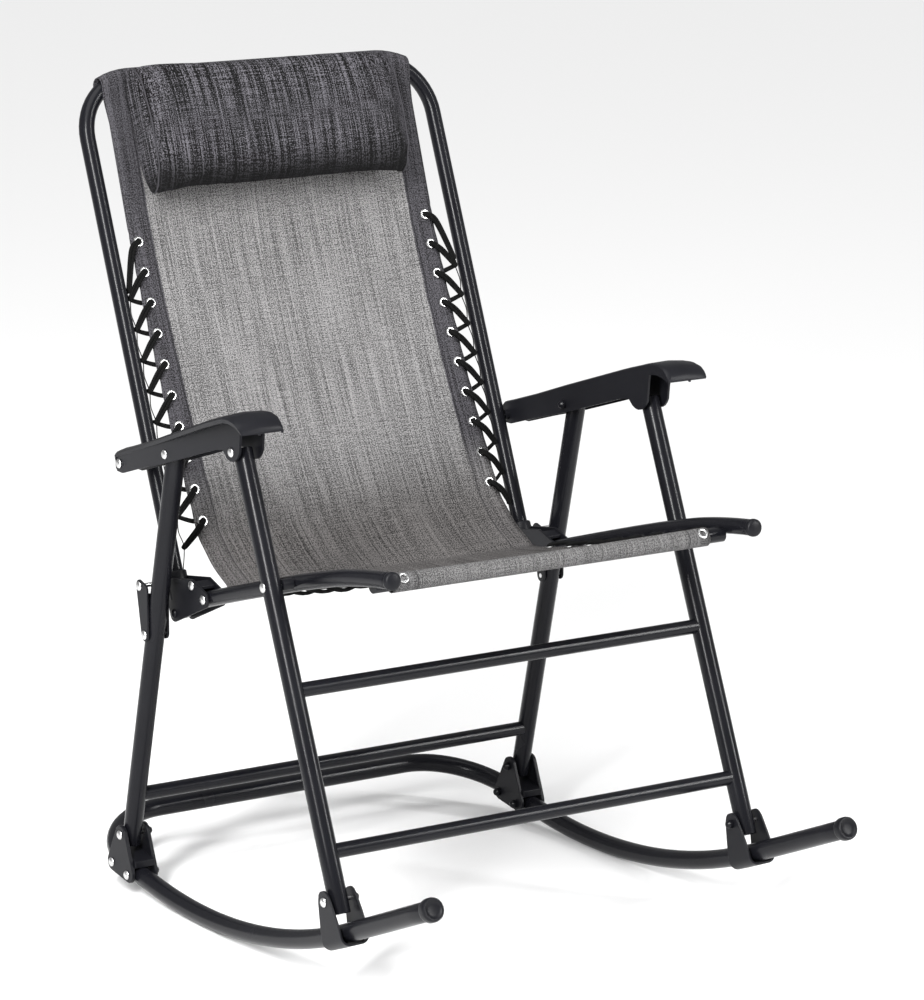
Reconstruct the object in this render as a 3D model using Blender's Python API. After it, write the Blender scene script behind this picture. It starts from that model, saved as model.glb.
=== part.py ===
"""Folding camp rocking chair: a steel tube frame on two curved rockers, moulded arms, and a laced sling with a
headrest pillow. Metres, +Z up, the sitter faces -Y, and the chair stands on Z = 0 centred on X = 0."""

import math

import bmesh
import bpy
from mathutils import Vector

# Tubes: outside radii, and the one wall thickness of the frame.
LEG_R = 0.0125
BAR_R = 0.0095
FRAME_R = 0.0105
WALL = 0.0012
TUBE_SIDES = 12
FLAT = math.cos(math.pi / TUBE_SIDES)
GAP = 0.0003

# The side profile is drawn from a datum plane of its own; this moves the chair to stand centred on Y = 0.
CENTRE_Y = 0.0125

# Lateral planes of the two sides.
LEG_X = 0.310
FRAME_X = 0.270

# Rockers: one arc of a circle that runs tangent into a straight front end.
ARC_Y, ARC_Z, ARC_R = 0.079, 0.9725, 0.960
NOSE = (-0.471, 0.162)
REAR_RUN_Y = 0.387
REAR_BEND_R = 0.112

# Pivots and bars in the side plane, as (y, z).
REAR_FOOT = (0.257, 0.077)
FRONT_FOOT = (-0.265, 0.1217)
ARM_MID = (0.1236, 0.614)
ARM_FRONT = (-0.0454, 0.6455)
ARM_REAR = (0.2583, 0.5778)
SEAT_PIVOT = (-0.1127, 0.4857)
LINK_LOW = (0.1855, 0.364)
LINK_TOP = (0.1975, 0.4271)
HINGE = (0.105, 0.4215)
BACK_FOOT = (0.1818, 0.388)
BRACKET_TIE = (0.1345, 0.4347)
UPPER_BAR = (-0.164, 0.3635)
LOWER_BAR = (-0.242, 0.1764)
REAR_BAR = (0.2431, 0.1332)
TOP_BAR = (0.450, 1.0535)
SEAT_BAR = (-0.272, 0.512)
TOP_CORNER_R = 0.080

# Side profile of the seat tubes, rear end to front cap.
SEAT_TUBE = [(0.148, 0.4053), (0.1227, 0.4164), (0.02, 0.4475), (-0.1127, 0.4857),
             (-0.20, 0.5085), (-0.245, 0.5180), (-0.290, 0.5253), (-0.325, 0.5297)]

# Arms: stations along the arm as (y, top, bottom of the cheeks, outer edge of the pad).
ARM_STATIONS = [(0.2700, 0.5905, 0.5720, 0.3200), (0.2660, 0.5955, 0.5665, 0.3205),
                (0.2500, 0.6000, 0.5665, 0.3210), (0.1960, 0.6165, 0.5825, 0.3235),
                (0.1250, 0.6400, 0.6020, 0.3300), (0.0430, 0.6660, 0.6270, 0.3400),
                (-0.0040, 0.6810, 0.6415, 0.3460), (-0.0240, 0.6870, 0.6450, 0.3485),
                (-0.0330, 0.6895, 0.6370, 0.3495), (-0.0454, 0.6930, 0.6335, 0.3510),
                (-0.0570, 0.6965, 0.6370, 0.3520), (-0.0650, 0.6985, 0.6480, 0.3530),
                (-0.0690, 0.6995, 0.6840, 0.3530), (-0.0850, 0.7005, 0.6860, 0.3540),
                (-0.0990, 0.6980, 0.6840, 0.3540), (-0.1080, 0.6915, 0.6805, 0.3530),
                (-0.1130, 0.6840, 0.6780, 0.3520)]
ARM_CHEEK = 0.0032
ARM_PAD = 0.0090
ARM_IN_REAR, ARM_IN_FRONT = 0.2868, 0.2910
ARM_OUT_REAR, ARM_OUT_FRONT = 0.3180, 0.3270
ARM_OUT_SLOPE, ARM_IN_SLOPE = 0.075, 0.013
ARM_CROWN = 0.0022

# Rear clamps on the rockers: the outlines' circles, the spans of both cheeks across, and the two clamp bolts.
CLAMP_CIRCLES = [(*REAR_FOOT, 0.0130), (0.281, 0.0345, 0.0120), (0.237, 0.0285, 0.0125)]
CLAMP_OUTER = (0.3234, 0.3288)
CLAMP_INNER = (0.2895, 0.2946)
CLAMP_BLOCK = (0.2930, 0.3230)
CLAMP_BLOCK_Y, CLAMP_BLOCK_LENGTH, CLAMP_BLOCK_TOP = 0.228, 0.060, 0.0095
CLAMP_BOLT_YS = (0.240, 0.281)
CLAMP_HEAD_X, CLAMP_END_X = 0.3291, 0.2892

# Links behind the rear legs: spans of the cheeks across, and the web that joins them.
LINK_OUTER = (0.3236, 0.3264)
LINK_INNER = (0.2936, 0.2964)
LINK_CIRCLES = [(*LINK_LOW, 0.0085), (*LINK_TOP, 0.0085), (0.1845, 0.424, 0.0075)]
LINK_WEB_OFFSET, LINK_WEB_RISE, LINK_WEB_LENGTH, LINK_WEB_WALL = 0.0137, 0.022, 0.026, 0.0025
LINK_HEAD_X = 0.3267

# Saddles at the front legs' feet: levels down one side as (height over the foot bolt, half width).
SADDLE_HALF_X, SADDLE_CORNER, SADDLE_WALL, SADDLE_BOTTOM = 0.0207, 0.0125, 0.0030, -0.0592
SADDLE_LOW_WIDTH = 0.0235
SADDLE_LEVELS = [(0.0130, 0.0070), (0.0100, 0.0110), (0.0, 0.0140), (-0.0150, 0.0180), (-0.0300, 0.0215),
                 (SADDLE_BOTTOM + SADDLE_CORNER, SADDLE_LOW_WIDTH)]

# Brackets at the foot of the back: cheeks each side of the tubes, a sleeve round the back tube and a stop web.
BRACKET_NEAR, BRACKET_FAR = 0.0110, 0.0142
BRACKET_SLEEVE = (0.4040, 0.4400)
BRACKET_STOP = [(0.1180, 0.4318), (0.1460, 0.4200), (0.1560, 0.4280), (0.1330, 0.4400), (0.1180, 0.4360)]
BRACKET_BOLT_REACH = 0.0145

# Seat pivot: a bolt with a spacer bush between the front leg and the seat tube.
SEAT_BOLT_HEAD_X, SEAT_BOLT_END_X = 0.3228, 0.2868
SEAT_BUSH_R, SEAT_BUSH_LENGTH = 0.0075, 0.0103

# Headrest pillow, on the back's own lean.
PILLOW_HALF_X, PILLOW_HALF_HEIGHT, PILLOW_DEPTH = 0.205, 0.080, 0.058
PILLOW_Z, PILLOW_OFFSET = 0.985, 0.0142
BACK_LEAN = (0, 0.374, 0.927)
BACK_OUT = (0, -0.927, 0.374)

# Bolts with their cap nuts.
BOLT_R = 0.0030
BOLT_HOLE_R = 0.0036
HEAD_R = 0.0062
HEAD_H = 0.0028
NUT_R = 0.0055
NUT_H = 0.0085

# Fabric: half width, thickness, and eyelets along each edge.
SLING_X = 0.2355
SLING_T = 0.0020
EYELET_X = 0.2245
EYELET_R = 0.0040
BACK_EYELETS = 10
EYELET_TOP = (0.3709, 0.8465)
EYELET_LOW = (0.2091, 0.4991)
BACK_SAG = 0.0066
BACK_FOLD_Z = 0.4600
SEAT_EDGE = [(0.1300, 0.4325), (0.1108, 0.4262), (0.0400, 0.4400), (-0.0374, 0.4565), (-0.1504, 0.4833),
             (-0.2200, 0.5030), (-0.2560, 0.5185)]
SEAT_EYELETS = 7
SEAT_EYELET_REAR, SEAT_EYELET_FRONT = 0.062, -0.214
CORD_R = 0.0024
KNOT_X = 0.2562

BLACK_STEEL = ((0.030, 0.030, 0.034), 0.35, 0.25)
BLACK_PLASTIC = ((0.028, 0.028, 0.030), 0.45, 0.0)
BRIGHT_STEEL = ((0.72, 0.72, 0.72), 0.25, 1.0)
GREY_FABRIC = ((0.30, 0.29, 0.28), 0.90, 0.0)
DARK_FABRIC = ((0.07, 0.07, 0.075), 0.92, 0.0)
BLACK_CORD = ((0.02, 0.02, 0.02), 0.80, 0.0)

SIDES = (("left", -1), ("right", 1))


def clear_scene():
    for obj in list(bpy.data.objects):
        bpy.data.objects.remove(obj, do_unlink=True)


def material(name, finish):
    colour, roughness, metallic = finish
    made = bpy.data.materials.new(name)
    made.use_nodes = True
    shader = made.node_tree.nodes["Principled BSDF"]
    shader.inputs["Base Color"].default_value = (*colour, 1.0)
    shader.inputs["Roughness"].default_value = roughness
    shader.inputs["Metallic"].default_value = metallic
    return made


def make_object(name, solid, finish, origin=(0.0, 0.0, 0.0)):
    """Turns a bmesh drawn from the datum plane into an object whose own origin is at origin."""
    bmesh.ops.recalc_face_normals(solid, faces=solid.faces)
    bmesh.ops.translate(solid, verts=solid.verts, vec=-Vector(origin))
    mesh = bpy.data.meshes.new(name)
    solid.to_mesh(mesh)
    solid.free()
    mesh.shade_smooth()
    mesh.set_sharp_from_angle(angle=math.radians(35))
    mesh.materials.append(material(name, finish))
    made = bpy.data.objects.new(name, mesh)
    made.location = Vector(origin) + Vector((0, CENTRE_Y, 0))
    bpy.context.scene.collection.objects.link(made)
    return made


def axis_point(pivot):
    return (0.0, pivot[0], pivot[1])


def arc_height(y):
    """Height of the rocker tube's axis at a depth y on its circular part."""
    return ARC_Z - math.sqrt(ARC_R ** 2 - (y - ARC_Y) ** 2)


def back_depth(z):
    """Depth of the back tube's axis at a height z."""
    slope = (TOP_BAR[0] - BACK_FOOT[0]) / (TOP_BAR[1] - BACK_FOOT[1])
    return BACK_FOOT[0] + slope * (z - BACK_FOOT[1])


def along(start, end, distance):
    """The point at a distance past end, on the line from start through end, in the side plane."""
    dy, dz = end[0] - start[0], end[1] - start[1]
    length = math.hypot(dy, dz)
    return (end[0] + dy / length * distance, end[1] + dz / length * distance)


def ring(solid, centre, normal, up, radius, sides):
    """One ring of vertices square to normal, with its first vertex towards up."""
    side = normal.cross(up).normalized()
    over = side.cross(normal).normalized()
    made = []
    for step in range(sides):
        angle = 2 * math.pi * step / sides
        offset = over * math.cos(angle) + side * math.sin(angle)
        made.append(solid.verts.new(centre + offset * radius))
    return made


def join_rings(solid, first, second):
    count = len(first)
    for k in range(count):
        solid.faces.new((first[k], first[(k + 1) % count], second[(k + 1) % count], second[k]))


def path_frames(points):
    """Tangents, and a side vector carried along the path with no twist."""
    tangents = []
    for k, point in enumerate(points):
        before = points[max(k - 1, 0)]
        after = points[min(k + 1, len(points) - 1)]
        tangents.append((after - before).normalized())
    guide = Vector((1, 0, 0))
    if abs(tangents[0].dot(guide)) > 0.9:
        guide = Vector((0, 0, 1))
    ups = []
    for tangent in tangents:
        guide = (guide - tangent * guide.dot(tangent)).normalized()
        ups.append(guide.copy())
    return tangents, ups


def tube(solid, points, radius, sides=TUBE_SIDES, wall=WALL):
    """A tube along points. With a wall it is hollow and open at both ends; with none it is a solid rod."""
    points = [Vector(p) for p in points]
    tangents, ups = path_frames(points)
    outer = [ring(solid, p, t, u, radius, sides) for p, t, u in zip(points, tangents, ups)]
    for first, second in zip(outer, outer[1:]):
        join_rings(solid, first, second)
    if not wall:
        solid.faces.new(outer[0])
        solid.faces.new(outer[-1])
        return
    inner = [ring(solid, p, t, u, radius - wall, sides) for p, t, u in zip(points, tangents, ups)]
    for first, second in zip(inner, inner[1:]):
        join_rings(solid, first, second)
    join_rings(solid, outer[0], inner[0])
    join_rings(solid, outer[-1], inner[-1])


def turned(solid, profile, start, direction, sides=8):
    """A turned solid from start: profile is (distance along direction, radius), capped at both ends."""
    direction = Vector(direction).normalized()
    start = Vector(start)
    up = Vector((0, 0, 1)) if abs(direction.z) < 0.9 else Vector((0, 1, 0))
    rings = [ring(solid, start + direction * d, direction, up, r, sides) for d, r in profile]
    for first, second in zip(rings, rings[1:]):
        join_rings(solid, first, second)
    solid.faces.new(rings[0])
    solid.faces.new(rings[-1])


def washer(solid, centre, direction, inner, outer, thickness, sides=10):
    """A flat ring with a hole, centred on centre."""
    direction = Vector(direction).normalized()
    up = Vector((0, 0, 1)) if abs(direction.z) < 0.9 else Vector((0, 1, 0))
    low = Vector(centre) - direction * thickness / 2
    high = Vector(centre) + direction * thickness / 2
    loops = [ring(solid, low, direction, up, outer, sides), ring(solid, high, direction, up, outer, sides),
             ring(solid, high, direction, up, inner, sides), ring(solid, low, direction, up, inner, sides)]
    for k in range(4):
        join_rings(solid, loops[k], loops[(k + 1) % 4])


def plate(solid, outline, x_low, x_high):
    """An outline in the side plane, as (y, z), given a thickness along X."""
    low = [solid.verts.new((x_low, y, z)) for y, z in outline]
    high = [solid.verts.new((x_high, y, z)) for y, z in outline]
    solid.faces.new(low)
    solid.faces.new(high)
    join_rings(solid, low, high)


def circle_hull(circles, steps=12):
    """The convex outline round circles given as (y, z, radius)."""
    points = []
    for y, z, radius in circles:
        for step in range(steps):
            angle = 2 * math.pi * step / steps
            points.append((y + radius * math.cos(angle), z + radius * math.sin(angle)))
    points.sort()

    def half(ordered):
        kept = []
        for p in ordered:
            while len(kept) > 1:
                a, b = kept[-2], kept[-1]
                if (b[0] - a[0]) * (p[1] - a[1]) - (b[1] - a[1]) * (p[0] - a[0]) > 1e-9:
                    break
                kept.pop()
            kept.append(p)
        return kept

    return half(points)[:-1] + half(points[::-1])[:-1]


def ribbon(solid, outline, half_widths):
    """A cloth strip that follows an open outline in the side plane, with its half width at each point."""
    count = len(outline)
    loops = []
    for k, (y, z) in enumerate(outline):
        a = outline[max(k - 1, 0)]
        b = outline[min(k + 1, count - 1)]
        length = math.hypot(b[0] - a[0], b[1] - a[1])
        ny = -(b[1] - a[1]) / length * SLING_T / 2
        nz = (b[0] - a[0]) / length * SLING_T / 2
        x = half_widths[k]
        corners = [(-x, y + ny, z + nz), (x, y + ny, z + nz), (x, y - ny, z - nz), (-x, y - ny, z - nz)]
        loops.append([solid.verts.new(corner) for corner in corners])
    for first, second in zip(loops, loops[1:]):
        join_rings(solid, first, second)
    solid.faces.new(loops[0])
    solid.faces.new(loops[-1])


def helper(name, solid):
    """A shape that only cuts or joins another, so it isn't a piece itself."""
    made = make_object(name, solid, BLACK_STEEL)
    made.hide_render = True
    made.display_type = "WIRE"
    return made


def combine(obj, solid, operation):
    tool = helper(f"{operation.lower()}_{obj.name}_{len(obj.modifiers)}", solid)
    step = obj.modifiers.new(operation.lower(), "BOOLEAN")
    step.operation = operation
    step.object = tool


def side_of(obj):
    return -1 if obj.name.endswith("left") else 1


def bore(obj, holes, x_low=0.20, x_high=0.36):
    """Drills holes along X through obj, at (y, z) points, on whichever side of the chair obj is."""
    cutter = bmesh.new()
    spans = [side_of(obj)] if obj.name.endswith(("left", "right")) else [-1, 1]
    for side in spans:
        for y, z in holes:
            profile = [(0, BOLT_HOLE_R), (x_high - x_low, BOLT_HOLE_R)]
            turned(cutter, profile, (side * x_low, y, z), (side, 0, 0))
    combine(obj, cutter, "DIFFERENCE")


def bolt(name, side, pivot, x_head, x_end, finish=None, nut=True, origin=(0, 0, 0)):
    """A domed bolt along X from x_head to x_end, where its cap nut sits if it has one."""
    solid = bmesh.new()
    towards = math.copysign(1, x_end - x_head)
    length = abs(x_end - x_head)
    profile = [(-HEAD_H, HEAD_R * 0.45), (0.0, HEAD_R), (0.0, BOLT_R), (length, BOLT_R)]
    if nut:
        profile += [(length, NUT_R), (length + NUT_H * 0.6, NUT_R), (length + NUT_H, NUT_R * 0.4)]
    turned(solid, profile, (side * x_head, *pivot), (side * towards, 0, 0))
    return make_object(name, solid, finish or BRIGHT_STEEL, origin)


def nose_tilt():
    """Angle above level of the rocker's straight front end, which runs tangent into the arc."""
    reach = math.hypot(NOSE[0] - ARC_Y, NOSE[1] - ARC_Z)
    return math.atan2(ARC_Y - NOSE[0], ARC_Z - NOSE[1]) - math.acos(ARC_R / reach)


def rocker_path():
    """The rocker tube's axis, from the left nose round the rear run to the right nose."""
    half = [(LEG_X, NOSE[0], NOSE[1])]
    tangent_y = ARC_Y - ARC_R * math.sin(nose_tilt())
    half.append((LEG_X, tangent_y, arc_height(tangent_y)))
    bend_start = REAR_RUN_Y - REAR_BEND_R
    steps = 8
    for k in range(1, steps + 1):
        y = tangent_y + (bend_start - tangent_y) * k / steps
        half.append((LEG_X, y, arc_height(y)))
    for k in range(1, 7):
        angle = math.pi / 2 * k / 6
        y = bend_start + REAR_BEND_R * math.sin(angle)
        x = LEG_X - REAR_BEND_R * (1 - math.cos(angle))
        half.append((x, y, arc_height(y)))
    return [(-x, y, z) for x, y, z in half] + half[::-1]


def back_path():
    """The back tube's axis: up the left side, along the top bar, and down the right side."""
    low = BACK_FOOT[1] - 0.007
    rise = math.hypot(TOP_BAR[0] - BACK_FOOT[0], TOP_BAR[1] - BACK_FOOT[1])
    lean_y = (TOP_BAR[0] - BACK_FOOT[0]) / rise
    lean_z = (TOP_BAR[1] - BACK_FOOT[1]) / rise
    half = [(FRAME_X, back_depth(low), low)]
    for k in range(7):
        angle = math.pi / 2 * k / 6
        along_back = rise - TOP_CORNER_R + TOP_CORNER_R * math.sin(angle)
        x = FRAME_X - TOP_CORNER_R * (1 - math.cos(angle))
        half.append((x, BACK_FOOT[0] + lean_y * along_back, BACK_FOOT[1] + lean_z * along_back))
    return [(-x, y, z) for x, y, z in half] + half[::-1]


def build_rockers():
    solid = bmesh.new()
    tube(solid, rocker_path(), LEG_R)
    rocker = make_object("rocker_tube", solid, BLACK_STEEL)
    clamp_bolts = [(y, arc_height(y)) for y in CLAMP_BOLT_YS]
    bore(rocker, clamp_bolts, x_low=0.28, x_high=0.34)
    forward = Vector((0, -math.cos(nose_tilt()), math.sin(nose_tilt())))
    for name, side in SIDES:
        solid = bmesh.new()
        start = Vector((side * LEG_X, *NOSE)) - forward * 0.018
        plug = (LEG_R - WALL) * FLAT - GAP
        profile = [(0.0, plug - 0.001), (0.018 + GAP, plug), (0.018 + GAP, 0.0142), (0.021, 0.0150),
                   (0.029, 0.0150), (0.031, 0.0138), (0.031, 0.0105), (0.0285, 0.0085), (0.028, 0.001)]
        turned(solid, profile, start, forward, 16)
        make_object(f"rocker_cap_{name}", solid, BLACK_PLASTIC)
        build_rear_clamp(name, side, clamp_bolts)


def build_rear_clamp(name, side, clamp_bolts):
    """Two cheeks either side of the rocker tube; the inner one carries the block that sits on the tube."""
    outline = circle_hull(CLAMP_CIRCLES)
    outer_cheek, inner_cheek, block = bmesh.new(), bmesh.new(), bmesh.new()
    plate(outer_cheek, outline, side * CLAMP_OUTER[0], side * CLAMP_OUTER[1])
    cheek = make_object(f"rear_clamp_outer_{name}", outer_cheek, BLACK_PLASTIC)
    bore(cheek, [REAR_FOOT, *clamp_bolts])
    plate(inner_cheek, outline, side * CLAMP_INNER[0], side * CLAMP_INNER[1])
    cheek = make_object(f"rear_clamp_inner_{name}", inner_cheek, BLACK_PLASTIC)
    block_ys = [CLAMP_BLOCK_Y + CLAMP_BLOCK_LENGTH * k / 6 for k in range(7)]
    below = [radial_point(y, LEG_R + 6 * GAP) for y in block_ys]
    above = [radial_point(y, LEG_R + CLAMP_BLOCK_TOP) for y in block_ys]
    plate(block, below + above[::-1], side * CLAMP_BLOCK[0], side * CLAMP_BLOCK[1])
    combine(cheek, block, "UNION")
    bore(cheek, [REAR_FOOT, *clamp_bolts])
    bolt(f"rear_pivot_bolt_{name}", side, REAR_FOOT, CLAMP_HEAD_X, CLAMP_END_X)
    bolt(f"clamp_front_bolt_{name}", side, clamp_bolts[0], CLAMP_HEAD_X, CLAMP_END_X)
    bolt(f"clamp_rear_bolt_{name}", side, clamp_bolts[1], CLAMP_HEAD_X, CLAMP_END_X)


def radial_point(y, inwards):
    """A point above the rocker tube's axis at depth y, moved inwards towards the arc's centre."""
    z = arc_height(y)
    share = inwards / ARC_R
    return (y + (ARC_Y - y) * share, z + (ARC_Z - z) * share)


def cross_bar(name, centre, gap_x):
    solid = bmesh.new()
    tube(solid, [(-gap_x, *centre), (gap_x, *centre)], BAR_R)
    return make_object(name, solid, BLACK_STEEL, axis_point(centre))


def build_rear_legs():
    bottom = along(ARM_MID, REAR_FOOT, 0.014)
    top = along(REAR_FOOT, ARM_MID, 0.0065)
    for name, side in SIDES:
        solid = bmesh.new()
        tube(solid, [(side * LEG_X, *bottom), (side * LEG_X, *top)], LEG_R)
        leg = make_object(f"rear_leg_{name}", solid, BLACK_STEEL, axis_point(REAR_FOOT))
        bore(leg, [REAR_FOOT, ARM_MID, LINK_LOW])
    cross_bar("rear_crossbar", REAR_BAR, LEG_X - LEG_R - GAP)
    for name, side in SIDES:
        bolt(f"link_pivot_bolt_{name}", side, LINK_LOW, LINK_HEAD_X, LINK_INNER[0] - GAP)


def build_links():
    """Channel-shaped links behind the rear legs: two cheeks and a rear web."""
    leg_lean = Vector((0, ARM_MID[0] - REAR_FOOT[0], ARM_MID[1] - REAR_FOOT[1])).normalized()
    behind = Vector((0, leg_lean.z, -leg_lean.y))
    outline = circle_hull(LINK_CIRCLES)
    low = Vector((0, *LINK_LOW)) + behind * LINK_WEB_OFFSET + leg_lean * LINK_WEB_RISE
    high = low + leg_lean * LINK_WEB_LENGTH
    thick = behind * LINK_WEB_WALL
    corners = [(p.y, p.z) for p in (low, low + thick, high + thick, high)]
    for name, side in SIDES:
        outer_cheek, inner_cheek, web = bmesh.new(), bmesh.new(), bmesh.new()
        plate(outer_cheek, outline, side * LINK_OUTER[0], side * LINK_OUTER[1])
        plate(inner_cheek, outline, side * LINK_INNER[0], side * LINK_INNER[1])
        plate(web, corners, side * sum(LINK_INNER) / 2, side * sum(LINK_OUTER) / 2)
        link = make_object(f"back_link_{name}", outer_cheek, BLACK_STEEL, axis_point(LINK_LOW))
        combine(link, web, "UNION")
        combine(link, inner_cheek, "UNION")
        bore(link, [LINK_LOW, LINK_TOP])
        at = axis_point(LINK_LOW)
        bolt(f"back_link_bolt_{name}", side, LINK_TOP, LINK_HEAD_X, 0.2880, nut=False, origin=at)


def build_front_legs():
    bottom = along(ARM_FRONT, FRONT_FOOT, 0.018)
    top = along(FRONT_FOOT, ARM_FRONT, 0.003)
    for name, side in SIDES:
        solid = bmesh.new()
        tube(solid, [(side * LEG_X, *bottom), (side * LEG_X, *top)], LEG_R)
        leg = make_object(f"front_leg_{name}", solid, BLACK_STEEL, axis_point(FRONT_FOOT))
        bore(leg, [FRONT_FOOT, SEAT_PIVOT])
    cross_bar("front_upper_crossbar", UPPER_BAR, LEG_X - LEG_R - GAP)
    cross_bar("front_lower_crossbar", LOWER_BAR, LEG_X - LEG_R - GAP)
    for name, side in SIDES:
        solid = bmesh.new()
        length = SEAT_BOLT_HEAD_X - SEAT_BOLT_END_X
        shank = length - SEAT_BUSH_LENGTH
        profile = [(-HEAD_H, HEAD_R * 0.35), (-HEAD_H * 0.75, HEAD_R * 0.72), (0.0, HEAD_R), (0.0, BOLT_R),
                   (shank, BOLT_R), (shank, SEAT_BUSH_R), (length, SEAT_BUSH_R)]
        turned(solid, profile, (side * SEAT_BOLT_HEAD_X, *SEAT_PIVOT), (-side, 0, 0))
        make_object(f"seat_pivot_bolt_{name}", solid, BLACK_STEEL, axis_point(FRONT_FOOT))


def build_saddles():
    """U-shaped straps bolted to the front legs' feet; the rocker tubes run through them."""
    centre = Vector((0, ARC_Y, ARC_Z))
    foot = Vector((0, *FRONT_FOOT))
    up = (centre - foot).normalized()
    forward = Vector((0, -up.z, up.y))
    strip = [(SADDLE_HALF_X, s, width) for s, width in SADDLE_LEVELS]
    for k in range(1, 4):
        angle = math.pi / 2 * k / 3
        x = SADDLE_HALF_X - SADDLE_CORNER * (1 - math.cos(angle))
        strip.append((x, SADDLE_BOTTOM + SADDLE_CORNER * (1 - math.sin(angle)), SADDLE_LOW_WIDTH))
    strip = strip + [(-x, s, width) for x, s, width in strip[::-1]]
    for name, side in SIDES:
        solid = bmesh.new()
        loops = []
        for k, (x, s, width) in enumerate(strip):
            a, b = strip[max(k - 1, 0)], strip[min(k + 1, len(strip) - 1)]
            run = Vector((b[0] - a[0], b[1] - a[1])).normalized()
            inward = Vector((run.y, -run.x)) * SADDLE_WALL
            corners = []
            for dx, ds, wide in ((0, 0, width), (0, 0, -width), (*inward, -width), (*inward, width)):
                point = foot + up * (s + ds) + forward * wide
                corners.append(solid.verts.new((side * LEG_X + x + dx, point.y, point.z)))
            loops.append(corners)
        for first, second in zip(loops, loops[1:]):
            join_rings(solid, first, second)
        solid.faces.new(loops[0])
        solid.faces.new(loops[-1])
        saddle = make_object(f"front_saddle_{name}", solid, BLACK_PLASTIC, (0, ARC_Y, ARC_Z))
        bore(saddle, [FRONT_FOOT])
        reach = SADDLE_HALF_X + GAP
        bolt(f"saddle_bolt_{name}", side, FRONT_FOOT, LEG_X + reach, LEG_X - reach, origin=(0, ARC_Y, ARC_Z))


def arm_section(y, top, bottom, pad_x):
    """The arm's closed outline at one station, as (x, z), for the right-hand side."""
    back_off = ARM_STATIONS[0][0] - y
    inner = min(ARM_IN_FRONT, ARM_IN_REAR + back_off * ARM_IN_SLOPE)
    outer = min(ARM_OUT_FRONT, ARM_OUT_REAR + back_off * ARM_OUT_SLOPE)
    pad = min(ARM_PAD, (top - bottom) * 0.6)
    under = top - pad
    edge = min(0.0055, pad * 0.6)
    roof = under - 0.0005
    return [(inner, bottom), (inner, top - 0.0015), (inner + 0.006, top),
            ((inner + pad_x) / 2, top + ARM_CROWN * 0.3), (pad_x - 0.006, top - ARM_CROWN), (pad_x, top - edge),
            (pad_x - 0.001, top - edge - pad * 0.55), (outer, roof), (outer, bottom),
            (outer - ARM_CHEEK, bottom), (outer - ARM_CHEEK, roof), (inner + ARM_CHEEK, roof),
            (inner + ARM_CHEEK, bottom)]


def build_arms():
    for name, side in SIDES:
        solid = bmesh.new()
        loops = []
        for y, top, bottom, pad_x in ARM_STATIONS:
            outline = arm_section(y, top, bottom, pad_x)
            loops.append([solid.verts.new((side * x, y, z)) for x, z in outline])
        for first, second in zip(loops, loops[1:]):
            join_rings(solid, first, second)
        solid.faces.new(loops[0])
        solid.faces.new(loops[-1])
        arm = make_object(f"arm_{name}", solid, BLACK_PLASTIC, axis_point(ARM_MID))
        boss = bmesh.new()
        turned(boss, [(0, 0.0070), (0.0070, 0.0070)], (side * 0.2810, *ARM_REAR), (side, 0, 0), 12)
        combine(arm, boss, "UNION")
        bore(arm, [ARM_REAR, ARM_MID, ARM_FRONT])
        at = axis_point(ARM_MID)
        bolt(f"arm_middle_bolt_{name}", side, ARM_MID, 0.3273, 0.2883, origin=at)
        bolt(f"arm_rear_bolt_{name}", side, ARM_REAR, 0.3200, 0.2600, nut=False, origin=at)
        bolt(f"arm_front_bolt_{name}", side, ARM_FRONT, 0.3273, 0.3245, nut=False, origin=at)


def build_back_frame():
    solid = bmesh.new()
    tube(solid, back_path(), FRAME_R)
    frame = make_object("back_tube", solid, BLACK_STEEL, axis_point(ARM_REAR))
    bore(frame, [ARM_REAR, BACK_FOOT], x_low=0.25, x_high=0.30)
    for name, side in SIDES:
        build_bracket(name, side)


def build_bracket(name, side):
    """Holds the foot of the back tube and the seat tube's hinge, with a stop web that the seat tube folds off."""
    low, high = (Vector((side * FRAME_X, back_depth(z), z)) for z in BRACKET_SLEEVE)
    cheek = circle_hull([(*BACK_FOOT, 0.0110), (*HINGE, 0.0115), (*BRACKET_TIE, 0.0080),
                         (back_depth(0.424), 0.424, 0.0090)])
    outer, inner, stop, sleeve = bmesh.new(), bmesh.new(), bmesh.new(), bmesh.new()
    plate(outer, cheek, side * (FRAME_X + BRACKET_NEAR), side * (FRAME_X + BRACKET_FAR))
    plate(inner, cheek, side * (FRAME_X - BRACKET_NEAR), side * (FRAME_X - BRACKET_FAR))
    middle = (BRACKET_NEAR + BRACKET_FAR) / 2
    plate(stop, BRACKET_STOP, side * (FRAME_X - middle), side * (FRAME_X + middle))
    washer(sleeve, (low + high) / 2, high - low, FRAME_R + 0.0008, BRACKET_FAR, (high - low).length, 16)
    at = axis_point(ARM_REAR)
    bracket = make_object(f"back_bracket_{name}", outer, BLACK_PLASTIC, at)
    for joined in (sleeve, stop, inner):
        combine(bracket, joined, "UNION")
    bore(bracket, [HINGE, BACK_FOOT])
    x_head, x_end = FRAME_X + BRACKET_BOLT_REACH, FRAME_X - BRACKET_BOLT_REACH
    bolt(f"seat_hinge_bolt_{name}", side, HINGE, x_head, x_end, origin=at)
    bolt(f"bracket_bolt_{name}", side, BACK_FOOT, x_head, x_end, BLACK_STEEL, origin=at)


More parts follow.
